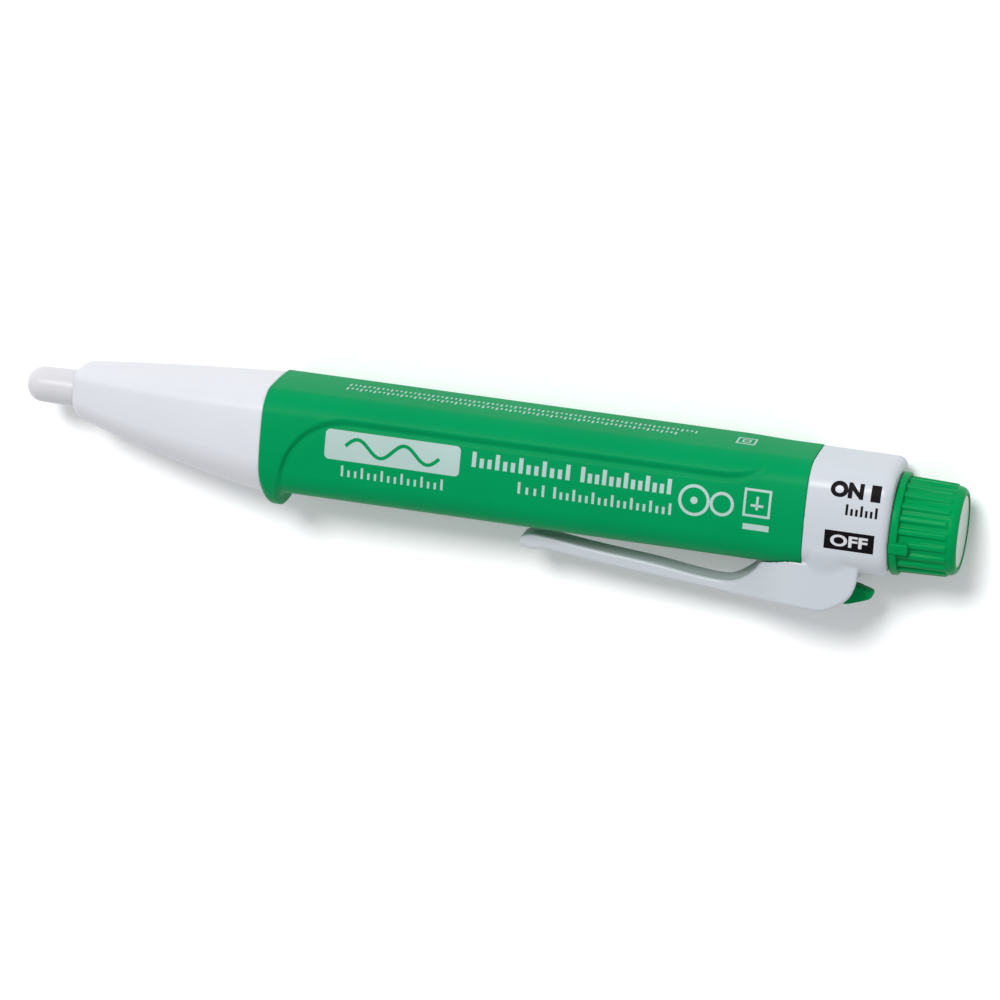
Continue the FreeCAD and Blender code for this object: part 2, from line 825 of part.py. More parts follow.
def make_rear_cap():
    collar = make_cap_shell()
    root = side_block("clip_root", "dims.root_half", root_outline())
    roof = "-dims.root_roof"
    hollow = side_block(
        "clip_root_hollow",
        "dims.root_hollow_half",
        [
            ("dims.root_hollow_x", roof, None),
            ("dims.root_hollow_x", "-dims.hollow_low_front", None),
            ("dims.hollow_mid_x", "-dims.hollow_low_mid", None),
            ("dims.hollow_back_x", "-dims.hollow_low_back", None),
            ("dims.hollow_mouth_x", "-dims.hollow_mouth_low", None),
            ("dims.hollow_mouth_x", roof, None),
        ],
    )
    hook_slot = box(
        "hook_slot",
        ("dims.hook_slot_front", roof, "-dims.root_hollow_half"),
        ("dims.hook_slot_back", "-dims.root_top + 0.1", "dims.root_hollow_half"),
    )
    pin_hole = cylinder(
        "pin_seat",
        "dims.pin_radius",
        "2 * dims.pin_half",
        ("dims.latch_x", "dims.latch_y", "-dims.pin_half"),
        UPRIGHT,
    )
    wall_x = "dims.cap_back - dims.end_wall"
    boss = cylinder(
        "detent_boss",
        "dims.boss_radius",
        "%s - dims.boss_x + dims.overlap" % wall_x,
        ("dims.boss_x", "dims.ball_circle", "0"),
    )
    ball_pocket = cylinder(
        "ball_pocket",
        "dims.ball_radius + dims.ball_slip",
        "dims.cap_back - dims.boss_x",
        ("dims.boss_x + dims.boss_floor", "dims.ball_circle", "0"),
    )
    shaft_bore = cylinder(
        "shaft_bore",
        "dims.shaft_radius + dims.shaft_slip",
        "dims.end_wall + 2",
        (wall_x + " - 1", "0", "0"),
    )
    spigot_start = "dims.barrel_back - dims.spigot_length"
    channel = cell_channel("cap_channel", spigot_start, "dims.barrel_back + dims.joint_gap")
    seal_end = "dims.seal_x + dims.seal_length"
    around = shrunk_section("dims.wall_t + dims.slip - dims.overlap")
    seat = shrunk_section("dims.wall_t + dims.slip + dims.seal_depth")
    groove = cut(
        "seal_groove",
        section_block("seal_around", "dims.seal_x", seal_end, *around),
        [section_block("seal_seat", "dims.seal_x", seal_end, *seat)],
    )
    shell = fuse("cap_shell", [collar, root, boss])
    holes = [hollow, hook_slot, pin_hole, ball_pocket, shaft_bore, channel, groove]
    finish(cut("cap_part", shell, holes), "rear_cap")


def make_cap_seal():
    end = "dims.seal_x + dims.seal_length"
    outside = shrunk_section("dims.wall_t + dims.slip")
    inside = shrunk_section("dims.wall_t + dims.slip + dims.seal_depth")
    ring = section_block("seal_block", "dims.seal_x", end, *outside)
    hole = section_block("seal_hole", "dims.seal_x", end, *inside)
    channel = cell_channel("seal_channel", "dims.seal_x", end)
    finish(cut("seal", ring, [hole, channel]), "cap_seal")


def make_clip_arm():
    """The springy arm: thin, slightly bowed, with a rounded lip at its free end."""
    shoulder = "dims.flex_x + dims.flex_shoulder"
    reach = "sqrt(dims.flex_radius^2 - dims.flex_shoulder^2)"
    arm = side_block(
        "arm",
        "dims.arm_half",
        [
            ("dims.lip_low_x", "-dims.lip_low", None),
            ("dims.lip_back_x", "-dims.lip_back_low", None),
            ("dims.arm_mid_x", "-dims.arm_mid_low", None),
            (shoulder, "dims.flex_y - " + reach, "dims.flex_radius"),
            (shoulder, "dims.flex_y + " + reach, None),
            ("dims.arm_mid_x", "-dims.arm_mid_high", None),
            ("dims.lip_back_x", "-dims.lip_back_high", None),
            ("dims.lip_top_x", "-dims.lip_high", "dims.lip_round"),
            ("dims.lip_end_x", "-dims.lip_end_y", "dims.lip_end_round"),
        ],
    )
    finish(arm, "clip_arm")


def make_latch():
    """The lever inside the clip root: hook, pivot hole and the wedge that a thumb presses."""
    lever = side_block(
        "lever",
        "dims.latch_half",
        [
            ("dims.hook_front", "-dims.lever_low_front", None),
            ("dims.lever_mid_x", "-dims.lever_low_mid", None),
            ("dims.wedge_low_x", "-dims.wedge_low", None),
            ("dims.wedge_end_low_x", "-dims.wedge_end_low", "dims.wedge_round"),
            ("dims.wedge_end_x", "-dims.wedge_end_high", None),
            ("dims.wedge_root_x", "-dims.lever_high", None),
            ("dims.hook_back", "-dims.lever_high", None),
            ("dims.hook_back", "-dims.hook_high", None),
            ("dims.hook_front", "-dims.hook_nose", None),
        ],
    )
    hole = cylinder(
        "lever_hole",
        "dims.pin_radius + dims.pin_slip",
        "4 * dims.latch_half",
        ("dims.latch_x", "dims.latch_y", "-2 * dims.latch_half"),
        UPRIGHT,
    )
    finish(cut("latch", lever, [hole]), "release_latch")

    pin = cylinder("pin", "dims.pin_radius", "2 * dims.pin_half", ("0", "0", "0"), UPRIGHT)
    finish(pin, "latch_pin", "dims.latch_x", "dims.latch_y", "-dims.pin_half")

    wire = "dims.latch_spring_wire"
    gap = "(dims.lever_high - dims.root_roof - 2 * (%s + dims.joint_gap))" % wire
    start = ("dims.latch_spring_x", "-dims.lever_high + %s + dims.joint_gap" % wire, "0")
    coil_spring("latch_spring", "dims.latch_spring_radius", wire, gap, 3, start, ALONG_Y)


# ---------------------------------------------------------------- knob and switch


def make_knob():
    """Turned knob with moulded flutes, a flange, a shaft through the cap and a pointer tab."""
    body = new_body("knob")
    profile = body_sketch(body, "knob_profile", "XY_Plane")
    flange_back = "dims.flange_x + dims.flange_length"
    ring_front = "dims.ring_x - dims.joint_gap"
    ring_back = "dims.ring_x + dims.ring_t + dims.joint_gap"
    rim_start = "dims.flute_end + dims.slip"
    rim_long = "(dims.total_length - (%s))" % rim_start
    rim_high = "(dims.knob_end_radius - dims.knob_rim_radius)"
    rim_round = "(%s^2 + %s^2) / (2 * %s)" % (rim_long, rim_high, rim_long)
    outline(
        profile,
        [
            ("dims.knob_hollow_x", "0", None),
            ("dims.knob_hollow_x", "dims.knob_hollow_radius", None),
            ("dims.disc_x", "dims.knob_hollow_radius", None),
            ("dims.disc_x", "dims.disc_radius + dims.disc_slip", None),
            ("dims.total_length", "dims.disc_radius + dims.disc_slip", None),
            ("dims.total_length", "dims.knob_rim_radius", rim_round),
            (rim_start, "dims.knob_end_radius", None),
            ("dims.flute_end", "dims.rib_end_radius", None),
            (flange_back, "dims.knob_radius", None),
            (flange_back, "dims.flange_radius", None),
            ("dims.flange_x", "dims.flange_radius", None),
            ("dims.flange_x", "dims.shaft_radius", None),
            (ring_back, "dims.shaft_radius", None),
            (ring_back, "dims.ring_seat_radius", None),
            (ring_front, "dims.ring_seat_radius", None),
            (ring_front, "dims.shaft_radius", None),
            ("dims.shaft_x", "dims.shaft_radius", None),
            ("dims.shaft_x", "0", None),
        ],
    )
    turned = body.newObject("PartDesign::Revolution", "knob_turned")
    turned.Profile = profile
    turned.ReferenceAxis = (profile, ["H_Axis"])
    turned.Angle = 360
    doc.recompute()
    before = turned.Shape.Volume

    flute_sketch = body_sketch(body, "flute_section", "YZ_Plane", "dims.flute_end")
    centre = "dims.knob_radius + dims.flute_radius - dims.flute_depth"
    circle = Part.Circle(Vector(value(centre), 0, 0), Vector(0, 0, 1), value("dims.flute_radius"))
    flute_sketch.addGeometry(circle)
    driven = [
        (Sketcher.Constraint("Radius", 0, value("dims.flute_radius")), "dims.flute_radius"),
        (Sketcher.Constraint("DistanceX", -1, 1, 0, 3, value(centre)), centre),
    ]
    for constraint, expression in driven:
        number = flute_sketch.addConstraint(constraint)
        bind(flute_sketch, "Constraints[%d]" % number, expression)
    flute_sketch.addConstraint(Sketcher.Constraint("PointOnObject", 0, 3, -1))
    flute = body.newObject("PartDesign::Pocket", "flute")
    flute.Profile = flute_sketch
    bind(flute, "Length", "dims.flute_end - (%s)" % flange_back)
    doc.recompute()
    assert flute.Shape.Volume < before - 1, "the flute cuts nothing"

    flutes = body.newObject("PartDesign::PolarPattern", "flutes")
    flutes.Originals = [flute]
    flutes.Axis = (profile, ["H_Axis"])
    flutes.Angle = 360
    bind(flutes, "Occurrences", "dims.flute_count")
    body.Tip = flutes
    doc.recompute()

    tab = doc.addObject("Part::Box", "pointer_tab")
    bind(tab, "Length", "dims.tab_length")
    bind(tab, "Width", "dims.tab_width")
    bind(tab, "Height", "dims.tab_high - dims.tab_low")
    bind_base(tab, "dims.tab_x", "-dims.tab_width / 2", "dims.tab_low")

    track = torus(
        "ball_track", "dims.ball_circle", "dims.ball_radius + 2 * dims.ball_slip", "dims.ball_x"
    )
    finish(cut("knob_part", fuse("knob_and_tab", [body, tab_turned(tab)]), [track]), "selector_knob")


def tab_turned(tab):
    """The pointer tab, turned about the knob's axis to the off mark."""
    turned = doc.addObject("Part::Compound", "tab_turned")
    turned.Links = [tab]
    turned.Placement = Placement(Vector(), Rotation(Vector(1, 0, 0), 1))
    bind(turned, "Placement.Rotation.Angle", "dims.off_angle")
    return turned


def make_knob_fittings():
    disc = cylinder("disc", "dims.disc_radius", "dims.disc_t", ("0", "0", "0"))
    finish(disc, "knob_end_disc", "dims.disc_x")

    ring = cylinder("ring_disc", "dims.ring_radius", "dims.ring_t", ("dims.ring_x", "0", "0"))
    before, after = "dims.ring_x - dims.overlap", "dims.ring_x + dims.ring_t + dims.overlap"
    length = "dims.ring_t + 2 * dims.overlap"
    seat = cylinder("ring_hole", "dims.ring_seat_radius", length, (before, "0", "0"))
    mouth = box(
        "ring_opening",
        (before, "-dims.ring_radius - dims.overlap", "-dims.ring_mouth"),
        (after, "0", "dims.ring_mouth"),
    )
    finish(cut("ring", ring, [seat, mouth]), "retaining_ring")

    size = ("dims.wiper_t", "2 * dims.wiper_reach", "2 * dims.wiper_half")
    wiper = box("wiper", ("0", "0", "0"), size)
    start = "dims.shaft_x - dims.wiper_t"
    finish(wiper, "switch_wiper", start, "-dims.wiper_reach", "-dims.wiper_half")


def make_detent():
    ball = sphere("ball", "dims.ball_radius", ("0", "0", "0"))
    finish(ball, "detent_ball", "dims.ball_x", "dims.ball_circle", "0")
    wire = "dims.detent_wire"
    start_x = "dims.boss_x + dims.boss_floor + %s + dims.joint_gap" % wire
    length = "dims.ball_x - dims.ball_radius - (%s) - %s" % (start_x, wire)
    start = (start_x, "dims.ball_circle", "0")
    coil_spring("detent_spring", "dims.detent_spring_radius", wire, length, 5, start, ALONG_X)


def make_switch():
    end = "dims.switch_x + dims.switch_t"
    section = shrunk_section("dims.wall_t + dims.slip + dims.spigot_wall")
    base = section_block("switch_plate", "dims.switch_x", end, *section)
    finish(base, "switch_base")
    start_x = "dims.cell_x + 2 * dims.cell_length + dims.tail_wire + dims.joint_gap"
    length = "dims.switch_x - dims.tail_wire - dims.joint_gap - (%s)" % start_x
    start = (start_x, "dims.cell_axis", "0")
    coil_spring("tail_spring", "dims.tail_radius", "dims.tail_wire", length, 3, start, ALONG_X)


# ---------------------------------------------------------------- checks and files


def write_parts():
    doc.recompute()
    failed = [o.Name for o in doc.Objects if set(o.State) & {"Invalid", "Error"}]
    assert not failed, "failed objects: %s" % failed
    for item in finished:
        assert not item.Shape.isNull() and item.Shape.isValid(), "bad shape: " + item.Label
    os.makedirs("parts", exist_ok=True)
    for item in finished:
        item.Shape.exportStep("parts/%s.step" % item.Label)
        print("%-18s %8.1f mm3  %d solid" % (item.Label, item.Shape.Volume, len(item.Shape.Solids)))


def main():
    fill_sheet()
    make_sensor_tip()
    make_nose_cone()
    make_barrel()
    make_battery_carrier()
    make_cell("battery_front", "dims.cell_x")
    make_cell("battery_rear", "dims.cell_x + dims.cell_length")
    make_board()
    make_board_parts()
    make_led("alarm_led", 1)
    make_led("power_led", -1)
    make_sensor()
    make_contacts()
    make_rear_cap()
    make_cap_seal()
    make_clip_arm()
    make_latch()
    make_knob()
    make_knob_fittings()
    make_detent()
    make_switch()
    write_parts()


main()
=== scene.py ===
import math

import bmesh
import bpy
import numpy as np
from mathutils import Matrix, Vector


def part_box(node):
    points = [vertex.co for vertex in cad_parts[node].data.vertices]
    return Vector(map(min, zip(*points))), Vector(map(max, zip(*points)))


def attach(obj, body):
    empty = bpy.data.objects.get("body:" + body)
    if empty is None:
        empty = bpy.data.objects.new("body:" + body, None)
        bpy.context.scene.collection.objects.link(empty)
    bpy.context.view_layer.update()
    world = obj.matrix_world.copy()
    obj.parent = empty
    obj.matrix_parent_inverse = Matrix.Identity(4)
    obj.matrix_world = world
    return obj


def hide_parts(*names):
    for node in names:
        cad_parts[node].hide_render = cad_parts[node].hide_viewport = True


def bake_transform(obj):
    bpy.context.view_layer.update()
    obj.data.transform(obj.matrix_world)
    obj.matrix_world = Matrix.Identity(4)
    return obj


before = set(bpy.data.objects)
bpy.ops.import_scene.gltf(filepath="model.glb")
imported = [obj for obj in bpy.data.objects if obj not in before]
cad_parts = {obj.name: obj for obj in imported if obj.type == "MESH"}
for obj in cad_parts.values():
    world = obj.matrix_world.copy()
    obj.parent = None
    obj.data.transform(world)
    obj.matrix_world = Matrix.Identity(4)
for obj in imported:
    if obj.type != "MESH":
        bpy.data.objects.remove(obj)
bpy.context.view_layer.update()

import openvdb
from mathutils import Matrix, Vector

# Shapes are worked out in millimetres in tool axes: X from the end of the tip to the end of the knob,
# Y away from the pocket clip with the knob's axis at 0, Z out of the upper flank with the mid plane
# at 0. to_frame() puts them in the frame, in metres.

MM = 0.001
disc_low, disc_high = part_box("knob_end_disc")
ORIGIN = Vector(
    (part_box("sensor_tip")[0].x, (disc_low.y + disc_high.y) / 2, (disc_low.z + disc_high.z) / 2)
)


def to_frame(points):
    """Points in tool axes, in millimetres, as points in the frame, in metres."""
    return np.asarray(points, float).reshape(-1, 3) * MM + np.array(ORIGIN)


def node_span(node):
    """A CAD node's lowest and highest corner in tool axes, in millimetres."""
    return [(np.array(corner) - np.array(ORIGIN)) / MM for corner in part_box(node)]


BARREL_FRONT = node_span("barrel")[0][0]
BARREL_BACK = node_span("barrel")[1][0]
CAP_BACK = node_span("rear_cap")[1][0]
TOTAL = node_span("selector_knob")[1][0]
HALF_THICK = node_span("barrel")[1][2]

# The guard and the ridge stand proud of the sunk panel, and the back is slightly crowned.
PROUD = 0.6
CROWN = 0.007


# ------------------------------------------------------------------ camera, light and floor

# The camera's three turns, the place in tool axes that it looks at, how far away it stands in
# millimetres, and its focal length as a multiple of the sensor's width.
YAW, LIFT, SLOPE = (math.radians(a) for a in (12.909, 19.372, 8.059))
AIM = (82.92, -5.72, 0.0)
CAMERA_AWAY = 778.4
FOCAL_SHARE = 4.7072
SENSOR = 36.0

SKY_COLOUR = (0.96, 0.98, 1.0, 1)
SKY_STRENGTH = 0.62
KEY_POWER = 2.5
KEY_ANGLE = math.radians(17)
KEY_FROM = (-0.14, 0.56, 0.815)
TOP_LAMP_PLACE = (0.0, 0.5, 0.35)
TOP_LAMP_AIM = (0, 0, 0.01)
TOP_LAMP_SIZE = (0.8, 0.2)
TOP_LAMP_POWER = 0.12
FLOOR_SIZE = 6


def make_camera():
    """Looks down on the upper flank from the tester's back, with the tip at the left."""
    back = Vector((math.sin(YAW), math.cos(YAW) * math.sin(LIFT), math.cos(YAW) * math.cos(LIFT)))
    level = (Vector((1, 0, 0)) - back * back.x).normalized()
    down = (-back).cross(level)
    right = level * math.cos(SLOPE) - down * math.sin(SLOPE)
    up = -(level * math.sin(SLOPE) + down * math.cos(SLOPE))
    data = bpy.data.cameras.new("camera")
    data.sensor_width = SENSOR
    data.lens = SENSOR * FOCAL_SHARE
    data.clip_start, data.clip_end = 0.01, 20
    camera = bpy.data.objects.new("camera", data)
    turn = Matrix((right, up, back)).transposed().to_4x4()
    place = Vector(to_frame(AIM)[0]) + back * CAMERA_AWAY * MM
    camera.matrix_world = Matrix.Translation(place) @ turn
    bpy.context.scene.collection.objects.link(camera)
    bpy.context.scene.camera = camera


def make_area_light(name, place, target, size, power):
    """A rectangular lamp at a place in the frame, turned to a target."""
    data = bpy.data.lights.new(name, "AREA")
    data.shape = "RECTANGLE"
    data.size, data.size_y = size
    data.energy = power
    light = bpy.data.objects.new(name, data)
    light.location = place
    light.rotation_euler = (Vector(target) - Vector(place)).to_track_quat("-Z", "Y").to_euler()
    bpy.context.scene.collection.objects.link(light)


def make_studio():
    """Even sky light, a soft key from the tester's back and a pale paper floor."""
    world = bpy.data.worlds.new("studio")
    world.use_nodes = True
    background = world.node_tree.nodes["Background"]
    background.inputs["Color"].default_value = SKY_COLOUR
    background.inputs["Strength"].default_value = SKY_STRENGTH
    bpy.context.scene.world = world
    key = bpy.data.lights.new("key", "SUN")
    key.energy = KEY_POWER
    key.angle = KEY_ANGLE
    lamp = bpy.data.objects.new("key", key)
    lamp.rotation_euler = Vector(KEY_FROM).to_track_quat("Z", "Y").to_euler()
    bpy.context.scene.collection.objects.link(lamp)
    make_area_light("top", TOP_LAMP_PLACE, TOP_LAMP_AIM, TOP_LAMP_SIZE, TOP_LAMP_POWER)
    view = bpy.context.scene.view_settings
    view.view_transform = "Standard"
    view.look = "None"

    bpy.ops.mesh.primitive_plane_add(size=FLOOR_SIZE, location=(0, 0, 0))
    floor = bpy.context.object
    floor.name = "floor"
    floor.data.materials.append(
        plastic("floor_paper", (0.97, 0.97, 0.97), 0.9, grain=0.8, depth=0.01, vary=0.004)
    )


# ------------------------------------------------------------------ materials


def plastic(
    name,
    colour,
    rough,
    grain=0.25,
    depth=0.02,
    vary=0.05,
    coat=0.0,
    inside=0.0,
    metal=0.0,
    shine=0.5,
):
    """Moulded plastic: fine grain in the surface, and slow changes of colour and gloss.

    The grain's size and depth are in millimetres, and vary is the share by which the colour changes.
    """
    made = bpy.data.materials.new(name)
    made.use_nodes = True
    nodes, links = made.node_tree.nodes, made.node_tree.links
    shader = nodes["Principled BSDF"]
    shader.inputs["Metallic"].default_value = metal
    shader.inputs["Specular IOR Level"].default_value = shine
    shader.inputs["Coat Weight"].default_value = coat
    shader.inputs["Coat Roughness"].default_value = 0.15
    if inside:
        shader.inputs["Subsurface Weight"].default_value = inside
        shader.inputs["Subsurface Radius"].default_value = (1.0, 1.0, 1.0)
        shader.inputs["Subsurface Scale"].default_value = 0.002
    place = nodes.new("ShaderNodeTexCoord")

    cloud = nodes.new("ShaderNodeTexNoise")
    cloud.inputs["Scale"].default_value = 60
    cloud.inputs["Detail"].default_value = 4
    links.new(place.outputs["Object"], cloud.inputs["Vector"])
    tint = nodes.new("ShaderNodeValToRGB")
    low, high = tint.color_ramp.elements
    low.position, high.position = 0.3, 0.7
    low.color = (*[c * (1 - vary) for c in colour], 1)
    high.color = (*[min(1, c * (1 + vary)) for c in colour], 1)
    links.new(cloud.outputs["Fac"], tint.inputs["Fac"])
    links.new(tint.outputs["Color"], shader.inputs["Base Color"])

    fine = nodes.new("ShaderNodeTexNoise")
    fine.inputs["Scale"].default_value = 1 / (grain * MM)
    fine.inputs["Detail"].default_value = 3
    links.new(place.outputs["Object"], fine.inputs["Vector"])
    gloss = nodes.new("ShaderNodeMapRange")
    gloss.inputs["To Min"].default_value = rough - 0.05
    gloss.inputs["To Max"].default_value = rough + 0.05
    links.new(fine.outputs["Fac"], gloss.inputs["Value"])
    links.new(gloss.outputs["Result"], shader.inputs["Roughness"])
    bump = nodes.new("ShaderNodeBump")
    bump.inputs["Strength"].default_value = 0.6
    bump.inputs["Distance"].default_value = depth * MM
    links.new(fine.outputs["Fac"], bump.inputs["Height"])
    links.new(bump.outputs["Normal"], shader.inputs["Normal"])
    return made


def brushed_metal(name, colour, rough):
    """Metal with fine streaks along X."""
    made = plastic(name, colour, rough, grain=0.08, depth=0.004, vary=0.08, metal=1.0)
    nodes, links = made.node_tree.nodes, made.node_tree.links
    place = next(n for n in nodes if n.type == "TEX_COORD")
    stretch = nodes.new("ShaderNodeMapping")
    stretch.inputs["Scale"].default_value = (0.08, 1, 1)
    links.new(place.outputs["Object"], stretch.inputs["Vector"])
    for noise in [n for n in nodes if n.type == "TEX_NOISE"]:
        links.new(stretch.outputs["Vector"], noise.inputs["Vector"])
    return made


# After the colour come the roughness, the grain's size and depth, and the colour's variation.
MATERIALS = {
    "white": plastic(
        "white_moulding", (0.56, 0.565, 0.60), 0.36, 0.3, 0.006, 0.012, inside=0.15, shine=0.3
    ),
    "cap_white": plastic("cap_moulding", (0.455, 0.482, 0.515), 0.36, 0.3, 0.006, 0.012, shine=0.3),
    "tip": plastic(
        "tip_moulding", (0.53, 0.525, 0.545), 0.3, 0.4, 0.004, 0.012, inside=0.5, shine=0.4
    ),
    "green": plastic("green_grain", (0.0, 0.232, 0.074), 0.42, 0.22, 0.02, 0.04, shine=0.03),
    "green_gloss": plastic("green_gloss", (0.0, 0.235, 0.063), 0.30, 0.5, 0.006, 0.05, shine=0.03),
    "pale": plastic("pale_disc", (0.37, 0.45, 0.40), 0.3, 0.35, 0.02, 0.08),
    "print_pale": plastic("pale_ink", (0.33, 0.45, 0.425), 0.5, 0.12, 0.01, 0.05),
    "print_black": plastic("black_ink", (0.004, 0.003, 0.004), 0.5, 0.12, 0.01, 0.2, shine=0.05),
    "black": plastic("black_moulding", (0.02, 0.02, 0.022), 0.45, 0.3, 0.02, 0.2),
    "board": plastic("solder_mask", (0.01, 0.13, 0.05), 0.35, 1.2, 0.02, 0.3),
    "red_lens": plastic("red_lens", (0.5, 0.02, 0.015), 0.15, 0.6, 0.003, 0.1, coat=0.5),
    "green_lens": plastic("green_lens", (0.03, 0.45, 0.08), 0.15, 0.6, 0.003, 0.1, coat=0.5),
    "steel": brushed_metal("spring_steel", (0.62, 0.62, 0.64), 0.3),
    "brass": brushed_metal("plated_brass", (0.75, 0.58, 0.27), 0.3),
    "cell": brushed_metal("cell_can", (0.45, 0.46, 0.5), 0.35),
    "rubber": plastic("seal_rubber", (0.015, 0.015, 0.015), 0.6, 0.2, 0.02, 0.3),
}

NODE_MATERIALS = {
    "battery_carrier": "black",
    "switch_base": "black",
    "controller_chip": "black",
    "board_components": "black",
    "buzzer": "black",
    "circuit_board": "board",
    "alarm_led": "red_lens",
    "power_led": "green_lens",
    "battery_front": "cell",
    "battery_rear": "cell",
    "sensor_plate": "brass",
    "contact_strip": "brass",
    "switch_wiper": "brass",
    "cap_seal": "rubber",
}


def finish_cad_nodes():
    """Gives every CAD node its material; a node that is not listed is spring steel or is replaced."""
    for name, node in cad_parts.items():
        node.data.materials.clear()
        node.data.materials.append(MATERIALS[NODE_MATERIALS.get(name, "steel")])


# ------------------------------------------------------------------ mesh helpers

# A turned piece ends in a ring of this radius, so that no face has a corner at its axis.
POLE_RADIUS = 0.02


def add_piece(name, points, faces, material, replaced=(), body=None, sharp=40):
    """A closed mesh piece from points in tool axes, with its faces turned outward.

    Without a body it is not attached to any body.
    """
    mesh = bpy.data.meshes.new(name)
    mesh.from_pydata(to_frame(points).tolist(), [], [list(map(int, f)) for f in faces])
    mesh.validate()
    work = bmesh.new()
    work.from_mesh(mesh)
    if work.calc_volume(signed=True) < 0:
        mesh.flip_normals()
    work.free()
    mesh.shade_smooth()
    mesh.set_sharp_from_angle(angle=math.radians(sharp))
    mesh.materials.append(MATERIALS[material])
    piece = bpy.data.objects.new(name, mesh)
    bpy.context.scene.collection.objects.link(piece)
    if replaced:
        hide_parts(*replaced)
    if body:
        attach(piece, body)
    return piece


def ring_faces(rings, count, closed_ends=(False, False)):
    """Quads between rings of points, each ring closed on itself, and a fan over a closed end."""
    faces = []
    for r in range(rings - 1):
        for k in range(count):
            a, b = r * count + k, r * count + (k + 1) % count
            faces.append((a, b, b + count, a + count))
    if closed_ends[0]:
        faces.append(tuple(range(count - 1, -1, -1)))
    if closed_ends[1]:
        faces.append(tuple(range((rings - 1) * count, rings * count)))
    return faces


def spokes(count):
    """Directions (Y, Z) evenly spread by turn, from +Z through +Y."""
    turns = 2 * np.pi * np.arange(count) / count
    return np.column_stack([np.sin(turns), np.cos(turns)])


def section_ring(shape, directions):
    """Where rays from the middle of a section leave it."""
    low = np.zeros(len(directions))
    high = np.full(len(directions), 20.0)
    for _ in range(26):
        middle = (low + high) / 2
        inside = section_distance(directions[:, 0] * middle, directions[:, 1] * middle, shape) < 0
        low = np.where(inside, middle, low)
        high = np.where(inside, high, middle)
    return directions * high[:, None]


def smooth(edge_low, edge_high, value):
    """Eases from 0 at the low edge to 1 at the high edge."""
    share = np.clip((value - edge_low) / (edge_high - edge_low), 0, 1)
    return share * share * (3 - 2 * share)


# ------------------------------------------------------------------ signed distances


def section_distance(y, z, shape):
    """A rounded section. The flanks arch in towards the top, and may tilt in below the crease."""
    over = np.maximum(y - shape["crease"], 0)
    under = np.maximum(shape["crease"] - y, 0)
    flank = np.abs(z) - shape["half"] + shape["arch"] * over**2 + shape["tilt"] * under
    top = both(flank, y - shape["top"] + CROWN * z**2, shape["corner"])
    return np.maximum(top, both(flank, -y - shape["bottom"], shape["belly"]))


def outline_distance(x, y, outline):
    """Signed distance to a closed outline, negative inside."""
    nearest = np.full(np.broadcast(x, y).shape, 1e9)
    inside = np.zeros(nearest.shape, bool)
    for (ax, ay), (bx, by) in zip(outline, np.roll(outline, -1, axis=0)):
        ex, ey = bx - ax, by - ay
        share = np.clip(((x - ax) * ex + (y - ay) * ey) / (ex * ex + ey * ey + 1e-12), 0, 1)
        away = (x - ax - share * ex) ** 2 + (y - ay - share * ey) ** 2
        nearest = np.minimum(nearest, away)
        if ay != by:
            crosses = (ay > y) != (by > y)
            inside ^= crosses & (x < ax + (y - ay) * ex / ey)
    return np.where(inside, -1, 1) * np.sqrt(nearest)


def both(a, b, rounding=0.0):
    """Where two shapes overlap, with the edge between them rounded."""
    if not rounding:
        return np.maximum(a, b)
    p, q = a + rounding, b + rounding
    outside = np.hypot(np.maximum(p, 0), np.maximum(q, 0))
    return outside + np.minimum(np.maximum(p, q), 0) - rounding


def either(a, b, blend):
    """Two shapes joined, with a fillet between them."""
    share = np.maximum(blend - np.abs(a - b), 0) / blend
    return np.minimum(a, b) - share * share * blend / 4


def without(a, b, rounding=0.0):
    """The first shape with the second cut away."""
    return both(a, -b, rounding)


def curve_through(points, steps=8):
    """A smooth closed line through points. A point marked True stays a corner."""
    places = np.array([p[:2] for p in points], float)
    corner = [len(p) > 2 and p[2] for p in points]
    line = []
    count = len(places)
    for n in range(count):
        p0, p1, p2, p3 = (places[(n + k) % count] for k in (-1, 0, 1, 2))
        if corner[n]:
            p0 = 2 * p1 - p2
        if corner[(n + 1) % count]:
            p3 = 2 * p2 - p1
        for step in range(steps):
            s = step / steps
            line.append(
                0.5
                * (
                    2 * p1
                    + (p2 - p0) * s
                    + (2 * p0 - 5 * p1 + 4 * p2 - p3) * s * s
                    + (3 * p1 - p0 - 3 * p2 + p3) * s**3
                )
            )
    return np.array(line)


def solid_from_distance(distance, low, high, voxel):
    """Points and quads of the surface where a distance is zero, pulled onto it exactly."""
    axes = [np.arange(a - 2 * voxel, b + 2 * voxel, voxel) for a, b in zip(low, high)]
    x, y, z = (axes[0][:, None, None], axes[1][None, :, None], axes[2][None, None, :])
    values = np.broadcast_to(distance(x, y, z), [len(a) for a in axes]).astype(np.float32)
    grid = openvdb.FloatGrid(float(values.max()))
    grid.copyFromArray(np.ascontiguousarray(values))
    points, quads = grid.convertToQuads(0.0)
    points = points * voxel + np.array([a[0] for a in axes])
    for _ in range(2):
        px, py, pz = points.T
        here = distance(px, py, pz)
        step = 0.02
        slope = np.stack(
            [
                distance(px + step, py, pz) - here,
                distance(px, py + step, pz) - here,
                distance(px, py, pz + step) - here,
            ],
            axis=1,
        )
        slope /= np.maximum(np.linalg.norm(slope, axis=1, keepdims=True), 1e-6)
        points = points - slope * np.clip(here, -voxel / 2, voxel / 2)[:, None]
    return points, quads


# ------------------------------------------------------------------ barrel

